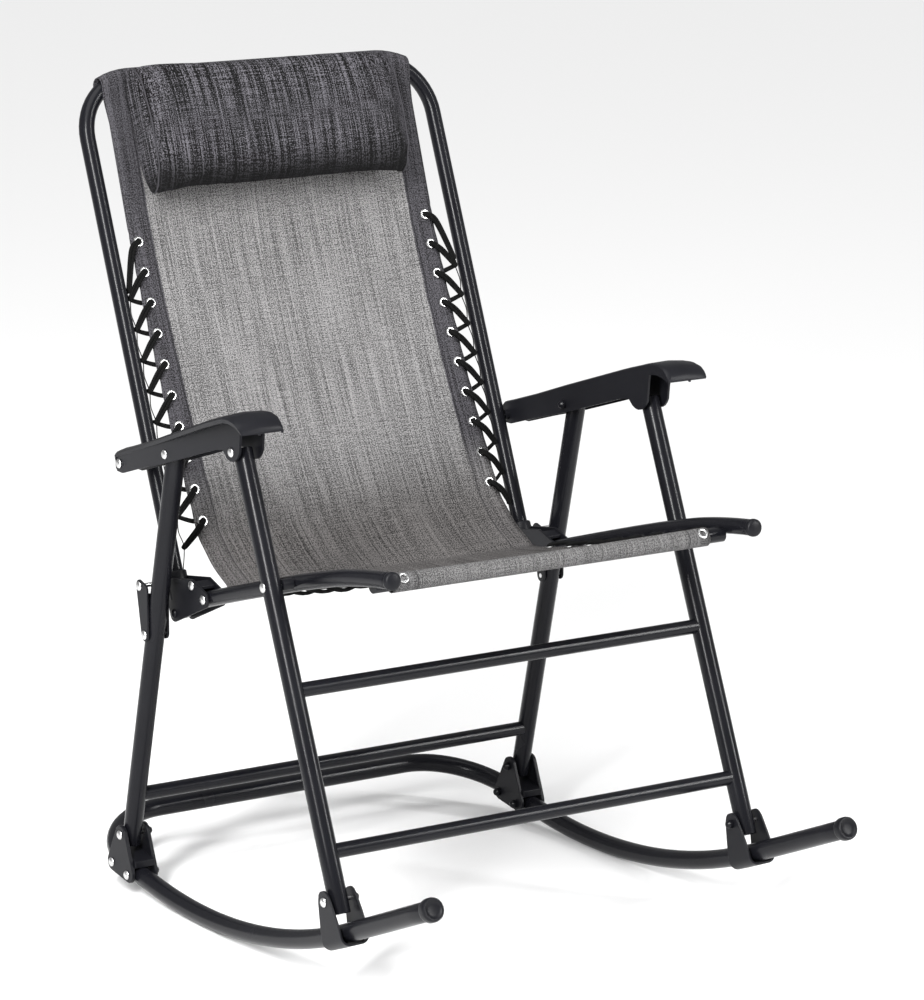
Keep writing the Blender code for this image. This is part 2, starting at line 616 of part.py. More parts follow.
def sling_depth(z):
    """Depth of the back sling's middle surface at a height z, below the top bar's sleeve."""
    share = (EYELET_TOP[1] - z) / (EYELET_TOP[1] - EYELET_LOW[1])
    if share < 0:
        front = (TOP_BAR[0] - FRAME_R - 0.0014, TOP_BAR[1] - 0.008)
        return EYELET_TOP[0] + (front[0] - EYELET_TOP[0]) * (z - EYELET_TOP[1]) / (front[1] - EYELET_TOP[1])
    straight = EYELET_TOP[0] + (EYELET_LOW[0] - EYELET_TOP[0]) * share
    return straight + 4 * BACK_SAG * share * max(1 - share, -0.2)


def round_bar(centre, radius, start, end, steps):
    """Points on an arc round a bar in the side plane. Angles in degrees, from +Y towards +Z."""
    made = []
    for k in range(steps + 1):
        angle = math.radians(start + (end - start) * k / steps)
        made.append((centre[0] + radius * math.cos(angle), centre[1] + radius * math.sin(angle)))
    return made


def build_back_sling():
    at = axis_point(ARM_REAR)
    sleeve = round_bar(TOP_BAR, 0.0124, -40, 165, 9)
    outline = list(sleeve)
    widths = [0.186] * len(sleeve)
    for k in range(12):
        z = 1.030 + (BACK_FOLD_Z - 1.030) * k / 11
        outline.append((sling_depth(z), z))
        drop = (TOP_BAR[1] - z) / 0.927
        inside = TOP_CORNER_R - FRAME_R - 0.0020
        from_corner = max(TOP_CORNER_R - drop, 0)
        free = FRAME_X - TOP_CORNER_R + math.sqrt(max(inside ** 2 - from_corner ** 2, 0))
        widths.append(min(SLING_X, max(free - 0.010, 0.186)))
    solid = bmesh.new()
    ribbon(solid, outline, widths)
    sling = make_object("sling_back", solid, GREY_FABRIC, at)
    holes = [(sling_depth(z), z) for z in back_eyelets()]
    pierce(sling, holes, (0, 0.93, -0.37))


def back_eyelets():
    pitch = (EYELET_TOP[1] - EYELET_LOW[1]) / (BACK_EYELETS - 1)
    return [EYELET_LOW[1] + pitch * k for k in range(BACK_EYELETS)]


def pierce(sling, holes, normal):
    """Eyelet holes square to the cloth along both of its edges."""
    cutter = bmesh.new()
    normal = Vector(normal).normalized()
    for side in (-1, 1):
        for y, z in holes:
            start = Vector((side * EYELET_X, y, z)) - normal * 0.006
            turned(cutter, [(0, EYELET_R), (0.012, EYELET_R)], start, normal, 6)
    combine(sling, cutter, "DIFFERENCE")


def lacing(name, side, eyelets, outs, knots, backs, normal, at):
    """A cord that zigzags between the cloth's eyelets and knots beside the tube.

    It comes up through each eyelet, crosses the cloth's edge at outs on its way to a knot, and comes back
    behind the cloth past backs. Each is a list of points in the side plane."""
    lift = Vector((0, *normal)).normalized() * (SLING_T / 2 + CORD_R + 0.0010)
    edge_x = side * (SLING_X + 0.0015)
    points = []
    for k, (hole, out, knot) in enumerate(zip(eyelets, outs, knots)):
        through = Vector((side * EYELET_X, *hole))
        knot = Vector((side * KNOT_X, *knot))
        points += [through - lift, through + lift, Vector((edge_x, *out)) + lift, knot + lift * 0.4]
        if k + 1 < len(eyelets):
            points += [knot - lift * 0.8, Vector((edge_x, *backs[k])) - lift]
    solid = bmesh.new()
    tube(solid, points, CORD_R, sides=6, wall=0)
    make_object(name, solid, BLACK_CORD, at)


def between(a, b, share):
    return (a[0] + (b[0] - a[0]) * share, a[1] + (b[1] - a[1]) * share)


def build_lacing():
    """The knots lie beside the tube, most of the way from one eyelet to the next."""

    def on_back(z):
        return (sling_depth(z), z)

    def on_seat(y):
        return (y, profile_height(SEAT_EDGE, y))

    heights = back_eyelets()[::-1]
    step = heights[1] - heights[0]
    holes, outs, backs = ([on_back(z + share * step) for z in heights] for share in (0.0, 0.3, 0.92))
    knots = [between(on_back(z), (back_depth(z), z), 0.6) for z in (h + 0.8 * step for h in heights)]
    for name, side in SIDES:
        lacing(f"back_lacing_{name}", side, holes, outs, knots, backs, (-0.91, 0.41), axis_point(ARM_REAR))
    depths = seat_eyelets()
    step = depths[1] - depths[0]
    holes, outs, backs = ([on_seat(y + share * step) for y in depths] for share in (0.0, 0.3, 0.85))
    knot_depths = [d + 0.6 * step for d in depths]
    knots = [between(on_seat(y), (y, profile_height(SEAT_TUBE, y)), 0.5) for y in knot_depths]
    for name, side in SIDES:
        lacing(f"seat_lacing_{name}", side, holes, outs, knots, backs, (0.22, 0.975), axis_point(HINGE))


def seat_eyelets():
    pitch = (SEAT_EYELET_FRONT - SEAT_EYELET_REAR) / (SEAT_EYELETS - 1)
    return [SEAT_EYELET_REAR + pitch * k for k in range(SEAT_EYELETS)]


def profile_height(points, y):
    """Height of a profile that runs from rear to front, read at a depth y."""
    fine = smooth_profile(points, 80)
    return min(fine, key=lambda p: abs(p[0] - y))[1]


def build_seat_sling():
    outline = smooth_profile(SEAT_EDGE, 14) + round_bar(SEAT_BAR, 0.0116, 80, 290, 8)
    solid = bmesh.new()
    ribbon(solid, outline, [SLING_X] * len(outline))
    sling = make_object("sling_seat", solid, DARK_FABRIC, axis_point(HINGE))
    pierce(sling, [(y, profile_height(SEAT_EDGE, y)) for y in seat_eyelets()], (0, 0.24, 0.97))


def build_pillow():
    """A stuffed roll, flat towards the sling and rounded in front."""
    lean, out = Vector(BACK_LEAN), Vector(BACK_OUT)
    base = Vector((0, back_depth(PILLOW_Z), PILLOW_Z)) + out * PILLOW_OFFSET
    solid = bmesh.new()
    loops = []
    for k in range(11):
        x = PILLOW_HALF_X * math.sin(math.pi / 2 * (k / 5 - 1))
        full = (1 - 0.72 * abs(x / PILLOW_HALF_X) ** 4) ** 0.5
        loop = []
        for step in range(14):
            angle = 2 * math.pi * step / 14
            share = math.copysign(abs(math.sin(angle)) ** 0.8, math.sin(angle))
            tall = share * PILLOW_HALF_HEIGHT * (0.86 + 0.14 * full)
            deep = PILLOW_DEPTH * full * (0.5 + 0.5 * math.cos(angle))
            loop.append(solid.verts.new(base + lean * tall + out * deep + Vector((x, 0, 0))))
        loops.append(loop)
    for first, second in zip(loops, loops[1:]):
        join_rings(solid, first, second)
    solid.faces.new(loops[0])
    solid.faces.new(loops[-1])
    make_object("headrest_pillow", solid, DARK_FABRIC, axis_point(ARM_REAR))


def build_seat_frame():
    for name, side in SIDES:
        solid = bmesh.new()
        points = smooth_profile(SEAT_TUBE, 11)
        tube(solid, [(side * FRAME_X, y, z) for y, z in points], FRAME_R)
        seat_tube = make_object(f"seat_tube_{name}", solid, BLACK_STEEL, axis_point(HINGE))
        bore(seat_tube, [HINGE])
        solid = bmesh.new()
        tip, before = SEAT_TUBE[-1], SEAT_TUBE[-2]
        forward = Vector((0, tip[0] - before[0], tip[1] - before[1])).normalized()
        start = Vector((side * FRAME_X, *tip)) - forward * 0.014
        plug = (FRAME_R - WALL) * FLAT - GAP
        profile = [(0.0, plug - 0.001), (0.014 + GAP, plug), (0.014 + GAP, 0.0108), (0.0170, 0.0112),
                   (0.0205, 0.0105), (0.0222, 0.0080), (0.0228, 0.0020)]
        turned(solid, profile, start, forward, 14)
        make_object(f"seat_cap_{name}", solid, BLACK_PLASTIC, axis_point(HINGE))
    cross_bar("seat_front_bar", SEAT_BAR, FRAME_X - FRAME_R - GAP)


def smooth_profile(points, count):
    """Points read off a smooth curve through a profile's own points."""
    lengths = [0.0]
    for a, b in zip(points, points[1:]):
        lengths.append(lengths[-1] + math.dist(a, b))
    made = []
    for k in range(count):
        at = lengths[-1] * k / (count - 1)
        i = max(j for j in range(len(points) - 1) if lengths[j] <= at + 1e-9)
        t = (at - lengths[i]) / (lengths[i + 1] - lengths[i])
        p0, p1 = points[max(i - 1, 0)], points[i]
        p2, p3 = points[i + 1], points[min(i + 2, len(points) - 1)]
        made.append(tuple(0.5 * (2 * b + (c - a) * t + (2 * a - 5 * b + 4 * c - d) * t ** 2
                                 + (3 * b - a - 3 * c + d) * t ** 3) for a, b, c, d in zip(p0, p1, p2, p3)))
    return made


def main():
    clear_scene()
    build_rockers()
    build_rear_legs()
    build_links()
    build_front_legs()
    build_saddles()
    build_arms()
    build_back_frame()
    build_back_sling()
    build_seat_frame()
    build_seat_sling()
    build_lacing()
    build_pillow()


main()
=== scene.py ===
"""Looks of the folding camp rocking chair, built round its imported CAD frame.

Metres, +Z up, the sitter faces -Y. Side-plane points are (y, z) pairs measured from the frame's datum
plane, which CENTRE_Y places in the world. Each sub-assembly is a class that builds its pieces, dresses them
with a finish, and hangs them on the CAD body they move with.
"""

import logging
import math
from dataclasses import dataclass, field
from enum import Enum
from typing import Optional, Sequence, Union

import bmesh
import bpy
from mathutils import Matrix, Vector, noise

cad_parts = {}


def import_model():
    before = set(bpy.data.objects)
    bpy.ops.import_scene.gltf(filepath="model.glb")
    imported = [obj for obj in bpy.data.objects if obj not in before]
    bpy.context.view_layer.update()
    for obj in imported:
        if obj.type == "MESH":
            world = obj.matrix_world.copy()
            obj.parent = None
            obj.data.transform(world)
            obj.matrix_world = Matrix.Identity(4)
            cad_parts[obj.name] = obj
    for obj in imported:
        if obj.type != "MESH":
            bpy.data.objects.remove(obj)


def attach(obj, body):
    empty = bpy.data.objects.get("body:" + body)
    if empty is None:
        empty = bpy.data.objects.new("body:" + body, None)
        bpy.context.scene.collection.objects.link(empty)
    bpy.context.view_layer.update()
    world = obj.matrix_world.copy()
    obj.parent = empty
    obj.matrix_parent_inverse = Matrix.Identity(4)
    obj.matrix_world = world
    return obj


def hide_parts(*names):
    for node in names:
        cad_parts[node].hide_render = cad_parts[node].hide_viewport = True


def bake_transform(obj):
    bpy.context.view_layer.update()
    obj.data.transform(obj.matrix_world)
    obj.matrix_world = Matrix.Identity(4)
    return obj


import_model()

LOG = logging.getLogger("rocking_chair")
CENTRE_Y = 0.0125
SIDES = (("left", -1), ("right", 1))
SidePoint = tuple[float, float]
Operand = Union["Value", float]


class Body(str, Enum):
    """The CAD bodies that pieces ride on."""

    ROCKER = "rocker"
    REAR_LEGS = "rear_legs"
    LINKS = "links"
    ARMS = "arms"
    BACK = "back_frame"
    SEAT = "seat_frame"
    SADDLES = "front_saddles"
    FRONT_LEGS = "front_legs"


# --------------------------------------------------------------------------------------------------
# Shader maths


class Value:
    """A number, colour or vector flowing through a material's nodes, with ordinary arithmetic."""

    def __init__(self, graph: "Graph", socket: bpy.types.NodeSocket) -> None:
        """Wraps an output socket of one of graph's nodes."""
        self.graph = graph
        self.socket = socket

    def _math(self, operation: str, *others: Operand, swap: bool = False) -> "Value":
        """Feeds this value and others to one Math node.

        Args:
            operation: What the node does.
            others: Its further inputs.
            swap: Whether the inputs go in the other way round.
        Returns:
            The node's result.
        """
        inputs = [self, *others]
        if swap:
            inputs.reverse()
        made = self.graph.node("ShaderNodeMath", {"operation": operation}, inputs)
        return Value(self.graph, made.outputs[0])

    def __add__(self, other: Operand) -> "Value":
        """This value plus other."""
        return self._math("ADD", other)

    def __sub__(self, other: Operand) -> "Value":
        """This value less other."""
        return self._math("SUBTRACT", other)

    def __rsub__(self, other: Operand) -> "Value":
        """Other less this value."""
        return self._math("SUBTRACT", other, swap=True)

    def __mul__(self, other: Operand) -> "Value":
        """This value times other."""
        return self._math("MULTIPLY", other)

    def __truediv__(self, other: Operand) -> "Value":
        """This value over other."""
        return self._math("DIVIDE", other)

    def __rtruediv__(self, other: Operand) -> "Value":
        """Other over this value."""
        return self._math("DIVIDE", other, swap=True)

    __radd__ = __add__
    __rmul__ = __mul__

    def sine(self) -> "Value":
        """Sine of the value, in radians."""
        return self._math("SINE")

    def absolute(self) -> "Value":
        """Value without its sign."""
        return self._math("ABSOLUTE")

    def step(self, low: float, high: float) -> "Value":
        """Smooth rise from 0 to 1.

        Args:
            low: Where it starts to rise.
            high: Where it is 1.
        Returns:
            The risen value.
        """
        smoothly = {"interpolation_type": "SMOOTHSTEP"}
        made = self.graph.node("ShaderNodeMapRange", smoothly, [self, low, high, 0.0, 1.0])
        return Value(self.graph, made.outputs[0])


Feed = Union[Value, float, Sequence[float]]


class Graph:
    """The node tree of one material."""

    def __init__(self, name: str) -> None:
        """Makes an empty material.

        Args:
            name: The material's name.
        """
        self.material = bpy.data.materials.new(name)
        self.material.use_nodes = True
        self.tree = self.material.node_tree
        self.shader = self.tree.nodes["Principled BSDF"]

    def node(self, kind: str, settings: Optional[dict] = None,
             inputs: Union[Sequence[Feed], dict] = ()) -> bpy.types.Node:
        """Adds a node.

        Args:
            kind: The node's Blender type.
            settings: Properties that are set before its sockets are.
            inputs: Socket values or links, by position or by name.
        Returns:
            The node.
        """
        made = self.tree.nodes.new(kind)
        for key, value in (settings or {}).items():
            setattr(made, key, value)
        pairs = inputs.items() if isinstance(inputs, dict) else enumerate(inputs)
        for key, value in pairs:
            self.feed(made.inputs[key], value)
        return made

    def feed(self, socket: bpy.types.NodeSocket, value: Feed) -> None:
        """Links a Value to a socket, or sets the socket to a constant.

        Args:
            socket: The input to fill.
            value: What goes in.
        """
        if isinstance(value, Value):
            self.tree.links.new(value.socket, socket)
        else:
            socket.default_value = value

    def surface(self, **values: Feed) -> None:
        """Sets the Principled shader's sockets, with underscores for the spaces in their names."""
        for key, value in values.items():
            name = key.replace("_", " ").title().replace("Ior", "IOR")
            self.feed(self.shader.inputs[name], value)

    def cloth(self) -> tuple[Value, Value]:
        """Where the point lies on the cloth.

        Returns:
            Distance across and along it, in metres.
        """
        uv = self.node("ShaderNodeUVMap", {"uv_map": "cloth"})
        split = self.node("ShaderNodeSeparateXYZ", inputs=[Value(self, uv.outputs[0])])
        return Value(self, split.outputs[0]), Value(self, split.outputs[1])

    def place(self) -> tuple[Value, Value, Value]:
        """Where the point lies on its own object.

        Returns:
            Its three coordinates, in metres.
        """
        where = self.node("ShaderNodeTexCoord")
        split = self.node("ShaderNodeSeparateXYZ", inputs=[Value(self, where.outputs["Object"])])
        return tuple(Value(self, split.outputs[k]) for k in range(3))

    def noise(self, across: Feed, along: Feed, through: Feed = 0.0, detail: float = 2.0) -> Value:
        """Noise over a point whose three coordinates are already in noise units.

        Args:
            across: First coordinate.
            along: Second coordinate.
            through: Third coordinate, which also tells one noise from another.
            detail: How many finer layers it has.
        Returns:
            The noise, about 0.5 on average.
        """
        point = self.node("ShaderNodeCombineXYZ", inputs=[across, along, through])
        made = self.node("ShaderNodeTexNoise", {"noise_dimensions": "3D"},
                         {"Vector": Value(self, point.outputs[0]), "Scale": 1.0, "Detail": detail})
        return Value(self, made.outputs[0])

    def mix(self, share: Feed, first: Feed, second: Feed) -> Value:
        """A colour between two others.

        Args:
            share: 0 for the first, 1 for the second.
            first: The first colour.
            second: The second colour.
        Returns:
            The colour.
        """
        made = self.node("ShaderNodeMix", {"data_type": "RGBA"})
        self.feed(made.inputs[0], share)
        self.feed(made.inputs[6], first)
        self.feed(made.inputs[7], second)
        return Value(self, made.outputs[2])

    def bump(self, height: Value, strength: float, distance: float) -> None:
        """Raises the surface's shading.

        Args:
            height: How high each place is.
            strength: How much of it shows, 0 to 1.
            distance: Height of 1, in metres.
        """
        inputs = {"Strength": strength, "Distance": distance, "Height": height}
        made = self.node("ShaderNodeBump", inputs=inputs)
        self.feed(self.shader.inputs["Normal"], Value(self, made.outputs[0]))


@dataclass(frozen=True)
class Tint:
    """How much red and blue a grey has against its green."""

    red: float = 1.0
    blue: float = 1.0

    def of(self, level: float) -> tuple[float, float, float, float]:
        """The tinted grey of that linear level."""
        return (level * self.red, level, level * self.blue, 1.0)


NEUTRAL = Tint()


# --------------------------------------------------------------------------------------------------
# Finishes


@dataclass(frozen=True)
class Finish:
    """A named look and the record's material slot it belongs to."""

    name: str
    slot: str

    def material(self) -> bpy.types.Material:
        """The finish's material, made once.

        Returns:
            The material.
        """
        known = bpy.data.materials.get(self.name)
        if known:
            return known
        graph = Graph(self.name)
        self.paint(graph)
        return graph.material

    def paint(self, graph: Graph) -> None:
        """Fills the material's nodes."""
        raise NotImplementedError


@dataclass(frozen=True)
class Coated(Finish):
    """Satin black powder coat or moulded plastic: a fine grain over a near-black body."""

    level: float = 0.012
    roughness: float = 0.34
    grain: float = 900.0
    depth: float = 0.00006
    tint: Tint = Tint(0.98, 1.30)
    gloss: float = 0.16

    def paint(self, graph: Graph) -> None:
        """A dark body whose gloss and height vary with a fine grain.

        Args:
            graph: The material's graph.
        """
        x, y, z = graph.place()
        fine = graph.noise(x * self.grain, y * self.grain, z * self.grain, 1.0)
        broad = graph.noise(x * 14.0, y * 14.0, z * 14.0, 2.0)
        darker, lighter = self.tint.of(self.level * 0.75), self.tint.of(self.level * 1.3)
        graph.surface(base_color=graph.mix(broad, darker, lighter), specular_ior_level=self.gloss,
                      roughness=self.roughness + (broad - 0.5) * 0.16)
        graph.bump(fine, 0.35, self.depth)


@dataclass(frozen=True)
class Plated(Finish):
    """Bright plated steel."""

    level: float = 0.62

    def paint(self, graph: Graph) -> None:
        """A metal with faint smears in its gloss.

        Args:
            graph: The material's graph.
        """
        x, y, z = graph.place()
        smear = graph.noise(x * 260.0, y * 260.0, z * 260.0, 2.0)
        graph.surface(base_color=NEUTRAL.of(self.level), metallic=1.0, roughness=0.18 + smear * 0.22)


@dataclass(frozen=True)
class Braid(Finish):
    """Black elastic cord with a braided cover."""

    level: float = 0.010
    turns: float = 1800.0

    def paint(self, graph: Graph) -> None:
        """Crossing strands on a matt black.

        Args:
            graph: The material's graph.
        """
        x, y, z = graph.place()
        strands = ((x + z) * self.turns).sine() * ((y - z) * self.turns).sine()
        darker, lighter = NEUTRAL.of(self.level * 0.5), NEUTRAL.of(self.level * 1.8)
        graph.surface(base_color=graph.mix(strands * 0.5 + 0.5, darker, lighter), roughness=0.85,
                      specular_ior_level=0.08)
        graph.bump(strands, 0.4, 0.0003)


# SHADED tints the painted shade on the level seat; HEMMED is the dark tint of doubled hems and of the
# pillow's cloth.
SHADED = Tint(1.06, 0.98)
HEMMED = Tint(1.04, 1.12)


@dataclass(frozen=True)
class Doubling:
    """Where the sling cloth is doubled: outside border_x, before sleeve_end and after hem_start."""

    border_x: float
    sleeve_end: float
    # seat_start is where the seat begins: painted shade starts there and the border hem fades.
    seat_start: float
    hem_start: float


@dataclass(frozen=True)
class Weave(Finish):
    """Woven mesh of two-tone yarns with long slubs along its warp.

    light and dark are the yarns' tones, slub how strongly single yarns stand out, and speck how strongly
    single crossings do. bias shifts the share of light yarns. A span along the warp, given as underside, is
    where painted shade darkens the cloth, going down, standing in for the shadow on the roll's lower side."""

    light: float = 0.37
    dark: float = 0.040
    slub: float = 0.70
    speck: float = 1.9
    bias: float = 0.0
    tint: Tint = Tint(1.02, 1.0)
    doubling: Optional[Doubling] = None
    painted_underside_shade: Optional[tuple[float, float]] = None
    pitch: float = 0.00135

    def paint(self, graph: Graph) -> None:
        """Warp and weft yarns, each with its own tone, laid over and under each other.

        Args:
            graph: The material's graph.
        """
        u, v = graph.cloth()
        thin, thick = graph.noise(u / 0.0016, v / 0.11, 0.0, 1.0), graph.noise(u / 0.0045, v / 0.19, 5.0, 1.0)
        warp = thin * 0.6 + thick * 0.4
        weft = graph.noise(u / 0.035, v / 0.0015, 3.0, 1.0)
        wave = (u * (math.pi / self.pitch)).sine() * (v * (math.pi / self.pitch)).sine()
        speck = graph.noise(u / 0.0017, v / 0.0017, 7.0, 0.0)
        broad = graph.noise(u / 0.12, v / 0.20, 9.0, 1.0)
        tone = (0.5 + self.bias) + (warp - 0.5) * (2.1 * self.slub) + (weft - 0.5) * (0.9 * self.slub)
        tone = tone + wave * 0.16 + (speck - 0.5) * self.speck + (broad - 0.5) * 0.25
        tone = tone.step(0.0, 1.0)
        colour = graph.mix(tone, self.tint.of(self.dark), self.tint.of(self.light))
        if self.doubling:
            colour = self.double(graph, u, v, tone, colour)
        # Painted shade: below the given span the cloth turns darker, standing in for the shadow under the
        # roll.
        if self.painted_underside_shade:
            lower = graph.mix(tone, self.tint.of(self.dark), self.tint.of(self.light * 0.13))
            colour = graph.mix(v.step(*self.painted_underside_shade), lower, colour)
        graph.surface(base_color=colour, roughness=0.88, specular_ior_level=0.2)
        graph.bump(wave * 0.5 + tone, 0.5, 0.0004)

    def double(self, graph: Graph, u: Value, v: Value, tone: Value, colour: Value) -> Value:
        """Darkens the doubled hems, paints shade over the part of the cloth that lies level, and draws the
        seams.

        Args:
            graph: The material's graph.
            u: Distance across the cloth.
            v: Distance along it.
            tone: The weave's own pattern, 0 to 1.
            colour: The single cloth's colour.
        Returns:
            The cloth's colour with its hems.
        """
        zone = self.doubling
        # Painted shade: the level seat is darkened to the SHADED tone, standing in for the shadow seen across
        # it.
        level = v.step(zone.seat_start, zone.seat_start + 0.14)
        level = level * (1 - v.step(zone.hem_start - 0.02, zone.hem_start))
        lower = graph.mix(tone, SHADED.of(self.dark * 0.25), SHADED.of(self.light * 0.49))
        colour = graph.mix(level, colour, lower)
        edge = u.absolute() + (graph.noise(u / 0.02, v / 0.03, 2.0, 1.0) - 0.5) * 0.003
        border = edge.step(zone.border_x - 0.001, zone.border_x + 0.001)
        border = border * (1 - v.step(zone.seat_start, zone.seat_start + 0.10) * 0.85)
        sleeve = 1 - v.step(zone.sleeve_end - 0.001, zone.sleeve_end)
        hem = 1 - (1 - border) * (1 - sleeve)
        front = v.step(zone.hem_start - 0.004, zone.hem_start + 0.004)
        colour = graph.mix(front * 0.45, colour, self.tint.of(self.dark))
        doubled = graph.mix(tone, HEMMED.of(self.dark * 0.12), HEMMED.of(self.light * 0.30))
        colour = graph.mix(hem, colour, doubled)
        seam = 1 - ((edge - zone.border_x - 0.003).absolute()).step(0.0005, 0.0014)
        return graph.mix(seam * 0.6, colour, HEMMED.of(self.dark * 0.2))


@dataclass(frozen=True)
class Ground(Finish):
    """Plain pale floor."""

    level: float = 0.93

    def paint(self, graph: Graph) -> None:
        """Even and matt."""
        graph.surface(base_color=NEUTRAL.of(self.level), roughness=0.9)


STEEL = Coated("powder_coat", "black_steel", level=0.006, roughness=0.24, grain=1100.0, depth=0.00002)
PLASTIC = Coated("moulded_plastic", "black_plastic", level=0.006, roughness=0.40, grain=800.0,
                 depth=0.00008)
ARM_PLASTIC = Coated("arm_plastic", "black_plastic", level=0.007, roughness=0.42, grain=600.0,
                     depth=0.00010)
BRIGHT = Plated("bright_bolts", "bolt_steel")
EYELET_METAL = Plated("eyelet_metal", "bolt_steel", level=0.45)
BLACK_BOLT = Coated("black_bolts", "bracket_bolt_black", level=0.006, roughness=0.30)
CORD = Braid("elastic_cord", "cord", level=0.004)
# The sling cloth carries painted shade over its level seat, from seat_start to hem_start.
SLING_CLOTH = Weave("sling_weave", "sling_fabric", light=0.260, dark=0.036, speck=1.7,
                    doubling=Doubling(border_x=0.201, sleeve_end=0.105, seat_start=0.56, hem_start=1.035))
# The pillow's cloth carries painted shade towards the roll's lower side.
PILLOW_CLOTH = Weave("pillow_weave", "pillow_fabric", light=0.104, dark=0.0005, slub=1.5, speck=2.2,
                     bias=-0.20, tint=HEMMED, painted_underside_shade=(-0.088, -0.045))
PIPING_CLOTH = Weave("piping_weave", "pillow_fabric", light=0.07, dark=0.004, tint=HEMMED)
FLOOR = Ground("studio_floor", "")


# --------------------------------------------------------------------------------------------------
# Geometry

CURVE_STEPS = 12
HOOP_SECTION = 8
ROUNDING = (0.0, 0.55, 1.1, math.pi / 2)


def world(x: float, point: SidePoint) -> Vector:
    """A side-plane point at a place across the chair."""
    return Vector((x, point[0] + CENTRE_Y, point[1]))


def lerp(a: float, b: float, share: float) -> float:
    """The number a share of the way from a to b."""
    return a + (b - a) * share


def clamped(value: float) -> float:
    """Value kept between 0 and 1."""
    return min(max(value, 0.0), 1.0)


def between(a: SidePoint, b: SidePoint, share: float) -> SidePoint:
    """The side-plane point a share of the way from a to b."""
    return (lerp(a[0], b[0], share), lerp(a[1], b[1], share))


def smooth(points: Sequence[Vector], count: int) -> list[Vector]:
    """Runs a smooth curve through points.

    Args:
        points: What the curve goes through.
        count: How many points it is given as.
    Returns:
        Points spaced evenly along the curve.
    """
    fine: list[Vector] = []
    for k in range(len(points) - 1):
        p0, p1 = points[max(k - 1, 0)], points[k]
        p2, p3 = points[k + 1], points[min(k + 2, len(points) - 1)]
        for step in range(CURVE_STEPS):
            t = step / CURVE_STEPS
            fine.append(0.5 * (2 * p1 + (p2 - p0) * t + (2 * p0 - 5 * p1 + 4 * p2 - p3) * t**2
                               + (3 * p1 - p0 - 3 * p2 + p3) * t**3))
    fine.append(points[-1])
    return spaced(fine, count)


def spaced(points: Sequence[Vector], count: int) -> list[Vector]:
    """Divides a polyline evenly.

    Args:
        points: The polyline.
        count: How many points to give.
    Returns:
        The points, from its start to its end.
    """
    lengths = [0.0]
    for a, b in zip(points, points[1:]):
        lengths.append(lengths[-1] + (b - a).length)
    made, i = [], 0
    for k in range(count):
        at = lengths[-1] * k / (count - 1)
        while i < len(points) - 2 and lengths[i + 1] < at:
            i += 1
        share = (at - lengths[i]) / max(lengths[i + 1] - lengths[i], 1e-9)
        made.append(points[i].lerp(points[i + 1], share))
    return made


def ring(solid: bmesh.types.BMesh, centre: Vector, normal: Vector, up: Vector, radius: float,
         sides: int) -> list[bmesh.types.BMVert]:
    """Adds a ring of vertices.

    Args:
        solid: The mesh that gets it.
        centre: Its centre.
        normal: The direction it is square to.
        up: Roughly where its first vertex lies.
        radius: Its radius.
        sides: How many vertices it has.
    Returns:
        The vertices in order.
    """
    side = normal.cross(up).normalized()
    over = side.cross(normal).normalized()
    turns = [2 * math.pi * k / sides for k in range(sides)]
    return [solid.verts.new(centre + (over * math.cos(a) + side * math.sin(a)) * radius) for a in turns]


def bridge(solid: bmesh.types.BMesh, first: list, second: list) -> None:
    """Quads between two rings of the same count."""
    count = len(first)
    for k in range(count):
        solid.faces.new((first[k], first[(k + 1) % count], second[(k + 1) % count], second[k]))


def close_ends(solid: bmesh.types.BMesh, loops: Sequence[list]) -> None:
    """Joins loops of vertices one to the next and closes the first and the last.

    Args:
        solid: The mesh they are in.
        loops: The loops, each of the same count.
    """
    for first, second in zip(loops, loops[1:]):
        bridge(solid, first, second)
    solid.faces.new(loops[0])
    solid.faces.new(loops[-1])


def sweep(solid: bmesh.types.BMesh, points: Sequence[Vector], radius: float, sides: int = 28,
          round_end: float = 0.0) -> None:
    """Adds a round bar.

    Args:
        solid: The mesh that gets it.
        points: Its axis.
        radius: Its radius.
        sides: Sides of its section.
        round_end: How far its ends are rounded.
    """
    final = len(points) - 1
    tangents = [(points[min(k + 1, final)] - points[max(k - 1, 0)]).normalized() for k in range(final + 1)]
    guide = Vector((1, 0, 0)) if abs(tangents[0].x) < 0.9 else Vector((0, 0, 1))
    rings = []
    for k, (point, tangent) in enumerate(zip(points, tangents)):
        guide = (guide - tangent * guide.dot(tangent)).normalized()
        if round_end and k in (0, final):
            out = tangent if k else -tangent
            caps = [ring(solid, point - out * round_end * (1 - math.sin(a)), tangent, guide,
                         radius - round_end * (1 - math.cos(a)), sides) for a in ROUNDING]
            rings += caps[::-1] if k == 0 else caps
        else:
            rings.append(ring(solid, point, tangent, guide, radius, sides))
    close_ends(solid, rings)


def lathe(solid: bmesh.types.BMesh, profile: Sequence[SidePoint], start: Vector, direction: Vector,
          sides: int = 28) -> None:
    """Adds a turned solid.

    Args:
        solid: The mesh that gets it.
        profile: (distance, radius) points along its axis.
        start: Where distance is 0.
        direction: Where its axis points.
        sides: Sides of its section.
    """
    direction = direction.normalized()
    up = Vector((0, 0, 1)) if abs(direction.z) < 0.9 else Vector((0, 1, 0))
    rings = [ring(solid, start + direction * d, direction, up, r, sides) for d, r in profile]
    close_ends(solid, rings)


